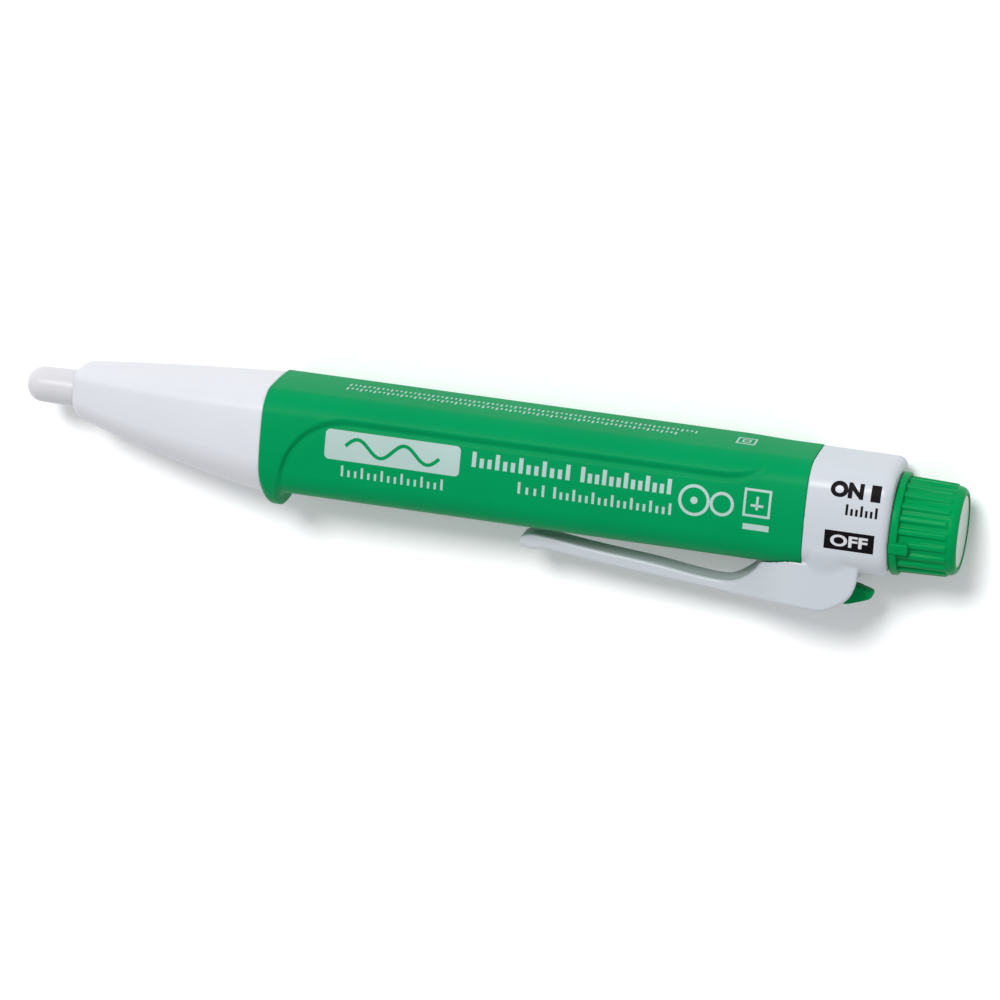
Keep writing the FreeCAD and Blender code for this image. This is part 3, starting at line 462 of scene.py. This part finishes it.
PROUD_HALF = HALF_THICK - 0.1
SUNK_HALF = HALF_THICK - PROUD
BACK_TOP = 10.2
GUARD_TOP = 10.27
PANEL_BOTTOM = 7.9
GUARD_BOTTOM = 11.2
BARREL_CORNER = 3.1
PANEL_BELLY = 5.0
GUARD_BELLY = 9.4
ARCH_FRONT = 0.015
ARCH_BACK = 0.018
CREASE = -1.0
PANEL_FRONT = 47.5
PANEL_TOP = 6.97
PANEL_ROUND = 11.5
PANEL_RISE_START = 121.0
PANEL_RISE_ROUND = 15.0
PANEL_FADE = (122, 131)
PANEL_WALL = 0.7
GUARD_WALL = 1.2
GUARD_SHIFT = 0.7
BELLY_SPAN = (-2.0, -9.0)
GROOVE_DEPTH = 0.25
GROOVE_HALF = 0.45
GROOVE_AWAY = 0.15
FRONT_EDGE = 0.28
BELLY_EDGE = 1.15
BACK_EDGE = 0.15
LEAD = 2.0
TAIL = 0.6
BORE = {
    "top": 8.6,
    "bottom": 6.3,
    "half": 7.7,
    "corner": 5.5,
    "belly": 3.4,
    "arch": 0.0,
    "tilt": 0.0,
    "crease": 0.0,
}


def sized(shape, amount):
    """The same section grown on every side, or shrunk if the amount is negative."""
    grown = {name: shape[name] + amount for name in ("top", "bottom", "half", "corner", "belly")}
    return dict(shape, **grown)


def barrel_section(x, proud):
    """The barrel's section at X: the sunk panel's if proud is 0, the guard's and ridge's if it is 1."""
    share = (x - BARREL_FRONT) / (BARREL_BACK - BARREL_FRONT)
    return {
        "top": BACK_TOP + (GUARD_TOP - BACK_TOP) * proud,
        "bottom": PANEL_BOTTOM + (GUARD_BOTTOM - PANEL_BOTTOM) * proud,
        "half": SUNK_HALF + (PROUD_HALF - SUNK_HALF) * proud,
        "corner": BARREL_CORNER,
        "belly": PANEL_BELLY + (GUARD_BELLY - PANEL_BELLY) * proud,
        "arch": ARCH_FRONT + (ARCH_BACK - ARCH_FRONT) * share,
        "tilt": 0.0,
        "crease": CREASE,
    }


def panel_depth(x, y):
    """How far a point of the side view lies inside the sunk panel, negative outside it."""
    run = np.maximum(x - PANEL_RISE_START, 0)
    rise = PANEL_RISE_ROUND - np.sqrt(np.maximum(PANEL_RISE_ROUND**2 - run**2, 0))
    top = PANEL_TOP + rise
    a = PANEL_ROUND - (x - PANEL_FRONT)
    b = PANEL_ROUND - (top - y)
    outside = np.hypot(np.maximum(a, 0), np.maximum(b, 0))
    return PANEL_ROUND - (outside + np.minimum(np.maximum(a, b), 0))


def make_barrel():
    """The tube with its finger guard, the ridge along its back and the sunk panel between them.

    Rings stand close together where the section changes fast. A shallow groove follows the panel's foot.
    """
    directions = spokes(400)
    inner = section_ring(BORE, directions)
    fine = np.arange(BARREL_FRONT + LEAD, 62, 0.17)
    middle = np.arange(62, 116, 0.9)
    rear = np.arange(116, BARREL_BACK - TAIL, 0.3)
    lead = BARREL_FRONT + LEAD * np.linspace(0, 1, 14, endpoint=False) ** 1.6
    tail = BARREL_BACK - TAIL * np.linspace(1, 0, 7) ** 1.6
    rings = []
    for x in np.concatenate([lead, fine, middle, rear, tail]):
        sunk = section_ring(barrel_section(x, 0), directions)
        guard = section_ring(barrel_section(x, 1), directions)
        side = (sunk[:, 0] + guard[:, 0]) / 2
        belly = smooth(*BELLY_SPAN, side)
        fade = 1 - smooth(*PANEL_FADE, x)
        wall = PANEL_WALL + (GUARD_WALL - PANEL_WALL) * belly
        depth = panel_depth(x, side) + GUARD_SHIFT * belly
        share = (1 - smooth(-wall / 2, wall / 2, depth)) * fade
        foot = (depth - wall / 2 - GROOVE_AWAY) / GROOVE_HALF
        groove = GROOVE_DEPTH * np.exp(-(foot**2)) * (1 - belly) * fade
        ring = sunk + (guard - sunk) * share[:, None]
        edge = FRONT_EDGE + BELLY_EDGE * belly
        into = np.clip(edge - (x - BARREL_FRONT), 0, edge)
        back_into = np.clip(BACK_EDGE - (BARREL_BACK - x), 0, BACK_EDGE)
        inset = edge - np.sqrt(np.maximum(edge**2 - into**2, 0)) + groove
        inset = inset + BACK_EDGE - math.sqrt(BACK_EDGE**2 - back_into**2)
        away = np.linalg.norm(ring, axis=1, keepdims=True)
        ring = ring * (1 - inset[:, None] / away)
        rings.append(np.column_stack([np.full(len(ring), x), ring]))
    for x in (BARREL_BACK, BARREL_BACK - 2.0, BARREL_FRONT + 6.0, BARREL_FRONT):
        rings.append(np.column_stack([np.full(len(inner), x), inner]))
    rings.append(rings[0])
    faces = ring_faces(len(rings), len(directions))
    points = np.concatenate(rings)
    add_piece("barrel_shell", points, faces, "green", ["barrel"], "housing", 30)


def flank_height(x, y, shape_at):
    """How far out the upper flank is at each place of the side view."""
    heights = np.zeros(len(x))
    for n, (place, level) in enumerate(zip(x, y)):
        shape = shape_at(place)
        low, high = 3.0, 12.0
        for _ in range(20):
            middle = (low + high) / 2
            if section_distance(level, middle, shape) < 0:
                low = middle
            else:
                high = middle
        heights[n] = high
    return heights


# ------------------------------------------------------------------ nose and tip

NOSE_STATIONS = (9.1, 17.5, 29.0, BARREL_FRONT)
NOSE_MIDDLE = (3.5, 2.48, 1.42, 0.5)
NOSE_HALF = (4.25, 5.95, 7.78, 9.6)
NOSE_FRONT = 8.95
TIP_AXIS = 3.43
TIP_RADIUS = 3.08
TIP_FLARE = 0.12
NOSE_EDGE_LENGTH = 1.7
NOSE_EDGE_DEPTH = 1.1
NOSE_BACK_EDGE = 0.25
TIP_INSIDE = 3.4
TIP_FLATNESS = 0.93
SPIGOT_LENGTH = 4.4
SPIGOT_GAP = 0.1
SPIGOT_WALL = 1.3
NOSE_HOLLOW_RADIUS = 3.5
NOSE_HOLLOW_BACK = BARREL_FRONT - 4

# The cone's section, as shares of its half size.
CORNER_FRONT, CORNER_BACK = 0.38, 0.32
NOSE_ARCH_FRONT, NOSE_ARCH_BACK = 0.07, 0.155
NOSE_BELLY = 0.8
NOSE_CREASE = -0.2
NOSE_TILT = 0.05


def through(x, stations, values):
    """A smooth cubic through four values."""
    fit = np.polyfit(stations, values, len(stations) - 1)
    return np.polyval(fit, x)


def nose_section(size, share):
    """The cone's section about its own middle; the upper corners get rounder from front to back."""
    return {
        "top": size,
        "bottom": size,
        "half": size,
        "corner": size * (CORNER_FRONT + (CORNER_BACK - CORNER_FRONT) * share),
        "belly": size * NOSE_BELLY,
        "arch": (NOSE_ARCH_FRONT + (NOSE_ARCH_BACK - NOSE_ARCH_FRONT) * share) / size,
        "tilt": NOSE_TILT,
        "crease": size * NOSE_CREASE,
    }


def make_nose():
    """The white cone: a rounded square section that grows from the tip to the barrel."""
    directions = spokes(360)
    count = len(directions)
    plan = []
    for turn in np.linspace(0, math.pi / 2, 12):
        back = NOSE_EDGE_LENGTH * (1 - math.cos(turn))
        plan.append((NOSE_FRONT + back, NOSE_EDGE_DEPTH * (1 - math.sin(turn))))
    last = BARREL_FRONT - NOSE_BACK_EDGE
    for x in np.linspace(NOSE_FRONT + NOSE_EDGE_LENGTH, last, 90)[1:]:
        plan.append((x, 0.0))
    for turn in np.linspace(0, math.pi / 2, 5)[1:]:
        x = last + NOSE_BACK_EDGE * math.sin(turn)
        plan.append((x, NOSE_BACK_EDGE * (1 - math.cos(turn))))
    seat_radius = TIP_RADIUS + TIP_FLARE / 2
    seat = directions * seat_radius
    rings = [np.column_stack([np.full(count, NOSE_FRONT), seat[:, 0] + TIP_AXIS, seat[:, 1]])]
    for x, inset in plan:
        middle = through(x, NOSE_STATIONS, NOSE_MIDDLE)
        size = through(x, NOSE_STATIONS, NOSE_HALF) - inset
        share = (x - NOSE_FRONT) / (BARREL_FRONT - NOSE_FRONT)
        ring = section_ring(nose_section(size, share), directions)
        rings.append(np.column_stack([np.full(count, x), ring[:, 0] + middle, ring[:, 1]]))
    spigot = section_ring(sized(BORE, -SPIGOT_GAP), directions)
    bore = section_ring(sized(BORE, -SPIGOT_WALL), directions)
    for x, ring in (
        (BARREL_FRONT, spigot),
        (BARREL_FRONT + SPIGOT_LENGTH, spigot),
        (BARREL_FRONT + SPIGOT_LENGTH, bore),
        (NOSE_HOLLOW_BACK, bore),
    ):
        rings.append(np.column_stack([np.full(count, x), ring]))
    for reach in (NOSE_HOLLOW_RADIUS, seat_radius):
        ring = directions * reach
        x = np.full(count, NOSE_FRONT + TIP_INSIDE + 0.05)
        rings.append(np.column_stack([x, ring[:, 0] + TIP_AXIS, ring[:, 1]]))
    rings.append(rings[0])
    faces = ring_faces(len(rings), count)
    points = np.concatenate(rings)
    add_piece("nose_shell", points, faces, "white", ["nose_cone"], "housing", 35)


def make_tip():
    """The translucent probe tip: turned, with a full round end, and a little wider at its base."""
    directions = spokes(96)
    front_radius = TIP_RADIUS - TIP_FLARE / 2
    profile = [(0.0, POLE_RADIUS)]
    for turn in np.linspace(0.06, math.pi / 2, 16):
        back = TIP_RADIUS * (1 - math.cos(turn)) * TIP_FLATNESS
        profile.append((back, front_radius * math.sin(turn)))
    for share in np.linspace(0, 1, 6)[1:]:
        x = TIP_RADIUS + (NOSE_FRONT - TIP_RADIUS) * share
        profile.append((x, front_radius + TIP_FLARE * share))
    profile.append((NOSE_FRONT + TIP_INSIDE, TIP_RADIUS))
    rings = []
    for x, radius in profile:
        ring = directions * radius
        rings.append(np.column_stack([np.full(len(ring), x), ring[:, 0] + TIP_AXIS, ring[:, 1]]))
    faces = ring_faces(len(rings), len(directions), (True, True))
    points = np.concatenate(rings)
    add_piece("probe_tip", points, faces, "tip", ["sensor_tip"], "housing", 60)


# ------------------------------------------------------------------ rear cap, clip and latch

# The clip's arm is 4.6 mm wide and spreads to the root's width over ROOT_GROWTH. Outward of the arm's
# half width the outline leans back by SLANT, so the root's sides close in towards its outer edge.
ARM_HALF = 2.3
ROOT_SPREAD = 6.0
ROOT_GROWTH = (121.0, 134.5)
SLANT_X, SLANT_Y = 0.243, 0.352
ROOT_ROUND = 0.5
ROOT_FILLET = 0.3
FILLET_GROWTH = 1.5
FILLET_RISE = (135.6, 138.0)
FILLET_FALL = (139.5, 143.5)
CAP_GAP = 0.12
COLLAR_FRONT = BARREL_BACK + 0.03
COLLAR_ROUND = 1.5
COLLAR_FLOOR = 2.0
SLEEVE_GAP = 0.08
SHAFT_FRONT = 141.0
SHAFT_RADIUS = 4.4
SHAFT_GAP = 0.05
CELL_AXIS = -0.9
CELL_BORE_RADIUS = 5.4
ROOT_HOLLOW_HALF = 1.7
CAP_VOXEL, QUICK_CAP_VOXEL = 0.2, 0.4
ARM_OUTLINE = curve_through(
    [
        (87.05, -11.65),
        (87.7, -12.45),
        (89.2, -12.7),
        (90.8, -12.5),
        (92.6, -12.5),
        (100.4, -13.4),
        (110.1, -14.25),
        (119.9, -15.1),
        (126.3, -15.6),
        (131.0, -15.95),
        (135.0, -16.2),
        (137.6, -16.2),
        (139.0, -15.75),
        (140.7, -14.75),
        (142.3, -13.2),
        (143.1, -11.3),
        (143.4, -9.4),
        (143.4, -6.0, True),
        (134.9, -6.0, True),
        (134.9, -8.25, True),
        (128.6, -8.25, True),
        (127.7, -9.0),
        (126.9, -10.3),
        (125.6, -11.7),
        (123.6, -12.85),
        (121.2, -13.3),
        (116.5, -12.95),
        (110.0, -12.1),
        (100.3, -11.25),
        (93.5, -10.45),
        (91.2, -10.2),
        (89.2, -10.1),
        (87.5, -10.65),
    ]
)
ROOT_HOLLOW = np.array(
    [(129.0, -9.4), (129.0, -14.6), (137, -15.35), (140.9, -15.15), (147, -16.5), (147, -9.4)]
)


def cap_section(x):
    """The collar's section, the same at every X."""
    return sized(barrel_section(BARREL_BACK, 0), -CAP_GAP)


def cap_distance(x, y, z):
    """The white rear cap with its spigot, hollow clip root and clip arm."""
    collar = both(section_distance(y, z, cap_section(x)), x - CAP_BACK, COLLAR_ROUND)
    collar = both(collar, COLLAR_FRONT - x, CAP_GAP)
    half = ARM_HALF + ROOT_SPREAD * smooth(*ROOT_GROWTH, x)
    out = np.maximum(np.abs(z) - ARM_HALF, 0)
    side = outline_distance(x - SLANT_X * out, y - SLANT_Y * out, ARM_OUTLINE)
    root = both(side, np.abs(z) - half, ROOT_ROUND)
    growth = smooth(*FILLET_RISE, x) * (1 - smooth(*FILLET_FALL, x))
    cap = either(collar, root, ROOT_FILLET + FILLET_GROWTH * growth)
    spigot = both(section_distance(y, z, sized(BORE, -SPIGOT_GAP)), x - COLLAR_FRONT - 1)
    cap = np.minimum(cap, both(spigot, COLLAR_FRONT - SPIGOT_LENGTH - x, 0.2))
    barrel = section_distance(y, z, sized(barrel_section(BARREL_BACK, 0), CAP_GAP))
    in_bore = section_distance(y, z, sized(BORE, -SLEEVE_GAP))
    cap = without(cap, without(both(barrel, x - COLLAR_FRONT), in_bore))
    hollow = both(section_distance(y, z, sized(BORE, -SPIGOT_WALL)), x - CAP_BACK + COLLAR_FLOOR)
    cap = without(cap, hollow)
    cap = without(cap, both(np.hypot(y, z) - SHAFT_RADIUS - SHAFT_GAP, SHAFT_FRONT - 1 - x))
    inside_root = both(outline_distance(x, y, ROOT_HOLLOW), np.abs(z) - ROOT_HOLLOW_HALF)
    cap = without(cap, inside_root, 0.12)
    channel = both(np.hypot(y - CELL_AXIS, z) - CELL_BORE_RADIUS, x - COLLAR_FRONT)
    return without(cap, channel)


def make_cap():
    """The cap with its clip, as one mesh."""
    voxel = CAP_VOXEL
    points, quads = solid_from_distance(
        cap_distance, (87.0, -16.6, -9.5), (CAP_BACK, 10.4, 9.5), voxel
    )
    nodes = ["rear_cap", "clip_arm"]
    cap = add_piece("cap_and_clip", points, quads, "cap_white", nodes, sharp=50)
    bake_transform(cap)


LATCH_OUTLINE = curve_through(
    [
        (130.2, -11.5, True),
        (130.2, -13.5, True),
        (138.5, -13.9),
        (141.7, -14.72),
        (143.9, -14.25),
        (145.7, -13.6),
        (146.3, -13.0),
        (146.4, -12.45),
        (146.1, -12.1),
        (144.8, -11.75),
        (143.2, -11.45),
        (138.0, -11.45),
    ]
)


LATCH_HALF = 1.45
LATCH_NARROWING = 0.5
LATCH_TAPER = (141.5, 146.4)
LATCH_ROUND = 0.3
LATCH_VOXEL = 0.12
COIL_TURNS = 3
COIL_WIRE_RADIUS = 0.14


def latch_distance(x, y, z):
    """The latch's lever, which narrows towards its free end."""
    half = LATCH_HALF - LATCH_NARROWING * smooth(*LATCH_TAPER, x)
    return both(outline_distance(x, y, LATCH_OUTLINE), np.abs(z) - half, LATCH_ROUND)


def make_latch():
    """The green lever under the clip root."""
    points, quads = solid_from_distance(
        latch_distance, (130.0, -15.0, -1.5), (146.5, -11.2, 1.5), LATCH_VOXEL
    )
    nodes = ["release_latch"]
    add_piece("latch_lever", points, quads, "green_gloss", nodes, "latch", 50)


def make_latch_coil():
    """The latch's return spring, a coil between the cap and the lever."""
    low, high = node_span("latch_spring")
    wire = COIL_WIRE_RADIUS
    middle = (low + high) / 2
    radius = (high[0] - low[0]) / 2 - wire
    around = spokes(10)
    turns = np.linspace(0, 2 * math.pi * COIL_TURNS, 121)
    heights = np.linspace(low[1] + wire, high[1] - wire, len(turns))
    rings = []
    for turn, height in zip(turns, heights):
        away = np.array([math.cos(turn), 0, math.sin(turn)])
        ring = [away * (radius + wire * c) + np.array([0, wire * s, 0]) for s, c in around]
        rings.append(np.array([middle[0], height, middle[2]]) + ring)
    faces = ring_faces(len(rings), len(around), (True, True))
    points = np.concatenate(rings)
    coil = add_piece("latch_coil", points, faces, "steel", ["latch_spring"])
    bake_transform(coil)


# ------------------------------------------------------------------ knob

RIBS = 22
FLANGE_FRONT = 149.3
FLANGE_BACK = 150.6
FLANGE_RADIUS = 8.45
RIB_END = 158.5
RIB_END_ROUND = 0.6
RIB_SPAN = (0.45, 0.98)
VALLEY = 7.3
RIB_HIGH = 0.55
RIB_FALL = 0.03
RIM_START = 158.6
LIP_RADIUS = 6.2
LIP_ROUND = 0.07
RECESS_DEPTH = 1.3
RECESS_RADIUS = 6.02
DISC_SUNK = 0.2
OFF_ANGLE = math.radians(-11.2)
TAB_MIDDLE = 150.9
TAB_LEVEL = 8.0
TAB_HALF_LENGTH = 1.6
TAB_HALF_WIDTH = 0.92
TAB_HALF_HEIGHT = 0.75
TAB_VOXEL = 0.1


def make_knob():
    """The ribbed knob on its shaft, its flange ring and its rounded rim round the end disc."""
    per_rib = 20
    count = RIBS * per_rib
    turns = 2 * np.pi * (np.arange(count) + 0.5) / count
    ridge = smooth(*RIB_SPAN, np.abs(np.sin(turns * RIBS / 2)))
    plan = [(SHAFT_FRONT, SHAFT_RADIUS, 0), (FLANGE_FRONT, SHAFT_RADIUS, 0)]
    plan += [(FLANGE_FRONT, FLANGE_RADIUS - 0.25, 0), (FLANGE_FRONT + 0.25, FLANGE_RADIUS, 0)]
    plan += [(FLANGE_BACK - 0.3, FLANGE_RADIUS, 0), (FLANGE_BACK - 0.1, FLANGE_RADIUS - 0.1, 0)]
    plan += [(FLANGE_BACK, FLANGE_RADIUS - 0.3, 0)]
    for x in np.linspace(FLANGE_BACK, RIB_END - RIB_END_ROUND, 20):
        plan.append((x, VALLEY, RIB_HIGH - RIB_FALL * (x - FLANGE_BACK)))
    for turn in np.linspace(0, math.pi / 2, 9)[1:]:
        x = RIB_END - RIB_END_ROUND * (1 - math.sin(turn))
        plan.append((x, VALLEY, (RIB_HIGH - RIB_FALL * (x - FLANGE_BACK)) * math.cos(turn)))
    for turn in np.linspace(0, math.pi / 2, 10):
        reach = VALLEY - (VALLEY - LIP_RADIUS - LIP_ROUND) * (1 - math.cos(turn))
        plan.append((RIM_START + (TOTAL - RIM_START) * math.sin(turn), reach, 0))
    recess = TOTAL - RECESS_DEPTH
    plan += [(TOTAL, LIP_RADIUS, 0), (TOTAL - 0.2, RECESS_RADIUS + 0.02, 0)]
    plan += [(recess, RECESS_RADIUS, 0), (recess, 5.0, 0)]
    rings = []
    for x, radius, height in plan:
        reach = radius + height * ridge
        y, z = reach * np.sin(turns), reach * np.cos(turns)
        rings.append(np.column_stack([np.full(count, x), y, z]))
    faces = ring_faces(len(rings), count, (True, True))
    points = np.concatenate(rings)
    nodes = ["selector_knob"]
    add_piece("knob_shell", points, faces, "green_gloss", nodes, "knob", 35)


def make_disc():
    """The pale disc set into the knob's end."""
    directions = spokes(96)
    floor, face = TOTAL - RECESS_DEPTH + 0.02, TOTAL - DISC_SUNK
    radius = RECESS_RADIUS - 0.04
    profile = [(floor, POLE_RADIUS), (floor, radius), (face - 0.1, radius)]
    profile += [(face, radius - 0.1), (face, POLE_RADIUS)]
    rings = []
    for x, reach in profile:
        ring = directions * reach
        rings.append(np.column_stack([np.full(len(ring), x), ring]))
    faces = ring_faces(len(rings), len(directions), (True, True))
    points = np.concatenate(rings)
    add_piece("end_disc", points, faces, "pale", ["knob_end_disc"], "knob", 30)


def tab_distance(x, y, z):
    """The pointer tab, raised over the ribs at the off mark."""
    across = y * math.cos(OFF_ANGLE) - z * math.sin(OFF_ANGLE)
    out = y * math.sin(OFF_ANGLE) + z * math.cos(OFF_ANGLE)
    block = both(np.abs(across) - TAB_HALF_WIDTH, np.abs(x - TAB_MIDDLE) - TAB_HALF_LENGTH, 0.35)
    return both(block, np.abs(out - TAB_LEVEL) - TAB_HALF_HEIGHT, 0.2)


def make_tab():
    """The knob's pointer tab."""
    points, quads = solid_from_distance(
        tab_distance, (149.1, -3.5, 6.5), (152.7, 0.5, 9.2), TAB_VOXEL
    )
    add_piece("knob_pointer", points, quads, "green_gloss", [], "knob", 50)


# ------------------------------------------------------------------ print

INK_LIFT = 0.03
STRIP = 0.4
BACK_PRINT_LEVEL = 10.265


def flat_mesh(loops):
    """Closed outlines in the side view filled to one flat mesh; an outline in another is a hole."""
    curve = bpy.data.curves.new("loops", "CURVE")
    curve.dimensions = "2D"
    curve.fill_mode = "BOTH"
    for loop in loops:
        spline = curve.splines.new("POLY")
        spline.points.add(len(loop) - 1)
        for point, (x, y) in zip(spline.points, loop):
            point.co = (x, y, 0, 1)
        spline.use_cyclic_u = True
    return mesh_of(curve)


def mesh_of(data):
    """The filled mesh of a curve or a text."""
    holder = bpy.data.objects.new("holder", data)
    bpy.context.scene.collection.objects.link(holder)
    bpy.context.view_layer.update()
    evaluated = holder.evaluated_get(bpy.context.evaluated_depsgraph_get())
    mesh = bpy.data.meshes.new_from_object(evaluated)
    bpy.data.objects.remove(holder)
    return mesh


def text_mesh(words, left, right, low, high, weight=0.0):
    """A generic switch word, stretched to fill a box of the side view."""
    font = bpy.data.curves.new("words", "FONT")
    font.body = words
    font.offset = weight
    mesh = mesh_of(font)
    points = np.array([v.co for v in mesh.vertices])
    span_low, span_high = points.min(0), points.max(0)
    for vertex in mesh.vertices:
        share = (np.array(vertex.co)[:2] - span_low[:2]) / (span_high - span_low)[:2]
        vertex.co = (left + share[0] * (right - left), low + share[1] * (high - low), 0)
    return mesh


def add_print(name, mesh, material, body, surface, lift=INK_LIFT):
    """Lays a flat mesh of the side view on a surface as a thin film of ink.

    It is cut in strips first, so that it follows the surface's curve.
    """
    work = bmesh.new()
    work.from_mesh(mesh)
    bpy.data.meshes.remove(mesh)
    bmesh.ops.remove_doubles(work, verts=work.verts, dist=1e-4)
    heights = [v.co.y for v in work.verts]
    for cut in np.arange(math.floor(min(heights)), max(heights), STRIP):
        everything = work.verts[:] + work.edges[:] + work.faces[:]
        bmesh.ops.bisect_plane(
            work, geom=everything, dist=0.01, plane_co=(0, cut, 0), plane_no=(0, 1, 0)
        )
    count = len(work.verts)
    flat = np.array([v.co for v in work.verts])
    top = surface(flat[:, 0], flat[:, 1], lift)
    under = surface(flat[:, 0], flat[:, 1], -lift)
    work.verts.index_update()
    faces = [[v.index for v in f.verts] for f in work.faces]
    rim_loops = [edge.link_loops[0] for edge in work.edges if edge.is_boundary]
    rims = [(loop.vert.index, loop.link_loop_next.vert.index) for loop in rim_loops]
    work.free()
    faces += [[i + count for i in f[::-1]] for f in faces]
    faces += [[b, a, a + count, b + count] for a, b in rims]
    return add_piece(name, np.concatenate([top, under]), faces, material, [], body, 30)


def panel_section(x):
    """The section of the sunk panel, which carries the print."""
    return barrel_section(x, 0)


def on_barrel(x, y, lift):
    """Points on the barrel's upper flank, from places in the side view."""
    return np.column_stack([x, y, flank_height(x, y, panel_section) + lift])


def on_cap(x, y, lift):
    """Points on the collar's upper flank, from places in the side view."""
    return np.column_stack([x, y, flank_height(x, y, cap_section) + lift])


def on_back(x, z, lift):
    """The tester's back face, read with Z down the picture."""
    return np.column_stack([x, BACK_PRINT_LEVEL - CROWN * z**2 + lift, z])


def rectangle(left, right, low, high, rounding=0.0, steps=6):
    """A closed outline, with rounded corners if asked."""
    if not rounding:
        return [(left, low), (right, low), (right, high), (left, high)]
    loop = []
    for cx, cy, start in (
        (right - rounding, low + rounding, -90),
        (right - rounding, high - rounding, 0),
        (left + rounding, high - rounding, 90),
        (left + rounding, low + rounding, 180),
    ):
        for step in range(steps + 1):
            turn = math.radians(start + 90 * step / steps)
            loop.append((cx + rounding * math.cos(turn), cy + rounding * math.sin(turn)))
    return loop


def circle(cx, cy, radius, steps=48):
    """A closed outline with evenly spaced points."""
    turns = [2 * math.pi * k / steps for k in range(steps)]
    return [(cx + radius * math.cos(t), cy + radius * math.sin(t)) for t in turns]


def band(points, width):
    """A line of some width through points, as one closed outline."""
    places = np.array(points, float)
    along = np.gradient(places, axis=0)
    along /= np.linalg.norm(along, axis=1, keepdims=True)
    side = np.column_stack([-along[:, 1], along[:, 0]]) * width / 2
    return [tuple(p) for p in places + side] + [tuple(p) for p in (places - side)[::-1]]


def marks(left, right, low, high, count, stroke):
    """A row of plain ticks in place of a line of print, every third one at full height."""
    loops = []
    pitch = (right - left - stroke) / (count - 1)
    for n in range(count):
        a = left + n * pitch
        reach = (high - low) * (1.0 if n % 3 == 0 else 0.62)
        loops.append(rectangle(a, a + stroke, low, low + reach))
    return loops


def make_barrel_print():
    """The pale marks on the barrel: plain shapes in place of the maker's print."""
    wave = [(58.5 + 0.5 * n, 3.0 + 1.3 * math.sin(2 * math.pi * n / 16)) for n in range(33)]
    badge = [rectangle(55.0, 78.0, 0.5, 5.5, 0.8), band(wave, 0.6)]
    pieces = {
        "print_badge": badge,
        "print_code": marks(58.0, 75.4, -2.2, -0.35, 16, 0.4),
        "print_title": marks(80.0, 96.5, 2.5, 5.0, 13, 0.7) + marks(98.3, 113.4, 2.5, 5.0, 13, 0.7),
        "print_rating": marks(88.0, 92.5, -0.9, 1.05, 4, 0.45)
        + marks(94.0, 113.7, -0.9, 1.05, 19, 0.45),
        "print_rings": [
            circle(117.3, 2.1, 2.6),
            circle(117.3, 2.1, 2.1),
            circle(117.3, 2.1, 0.6, 24),
            circle(121.9, 2.1, 2.0),
            circle(121.9, 2.1, 1.5),
        ],
        "print_square": [
            rectangle(125.4, 129.9, 0.7, 5.3),
            rectangle(125.8, 129.5, 1.1, 4.9),
            rectangle(125.6, 129.9, -1.5, -0.5),
            rectangle(127.45, 127.85, 1.9, 4.1),
            rectangle(126.6, 128.7, 2.4, 2.8),
        ],
    }
    for name, loops in pieces.items():
        mesh = flat_mesh(loops)
        add_print(name, mesh, "print_pale", "housing", on_barrel)


def make_cap_print():
    """The black marks beside the knob."""
    on_word = text_mesh("ON", 139.2, 144.6, 5.8, 8.2, 0.06)
    add_print("print_on", on_word, "print_black", "cap", on_cap)
    bar = flat_mesh([rectangle(145.8, 147.4, 5.7, 8.2)])
    add_print("print_on_bar", bar, "print_black", "cap", on_cap)
    small = flat_mesh(marks(142.0, 147.2, 3.1, 4.85, 7, 0.4))
    add_print("print_small", small, "print_black", "cap", on_cap)
    box = flat_mesh([rectangle(139.0, 147.1, -2.8, 0.35)])
    add_print("print_off_box", box, "print_black", "cap", on_cap)
    off = text_mesh("OFF", 140.0, 146.1, -2.2, -0.25, 0.03)
    add_print("print_off", off, "white", "cap", on_cap, 2 * INK_LIFT)


def make_back_print():
    """Two rows of ticks and a double square along the back."""
    rows = marks(56, 115, -1.6, -0.4, 76, 0.3) + marks(56, 112, 0.4, 1.6, 73, 0.3)
    add_print("print_back", flat_mesh(rows), "print_pale", "housing", on_back)
    squares = [rectangle(121.9, 125.1, -1.6, 1.6), rectangle(122.2, 124.8, -1.3, 1.3)]
    squares += [rectangle(122.8, 124.2, -0.7, 0.7), rectangle(123.05, 123.95, -0.45, 0.45)]
    add_print("print_class", flat_mesh(squares), "print_pale", "housing", on_back)


make_camera()
make_studio()
finish_cad_nodes()
make_barrel()
make_nose()
make_tip()
make_cap()
make_latch()
make_latch_coil()
make_knob()
make_disc()
make_tab()
make_barrel_print()
make_cap_print()
make_back_print()
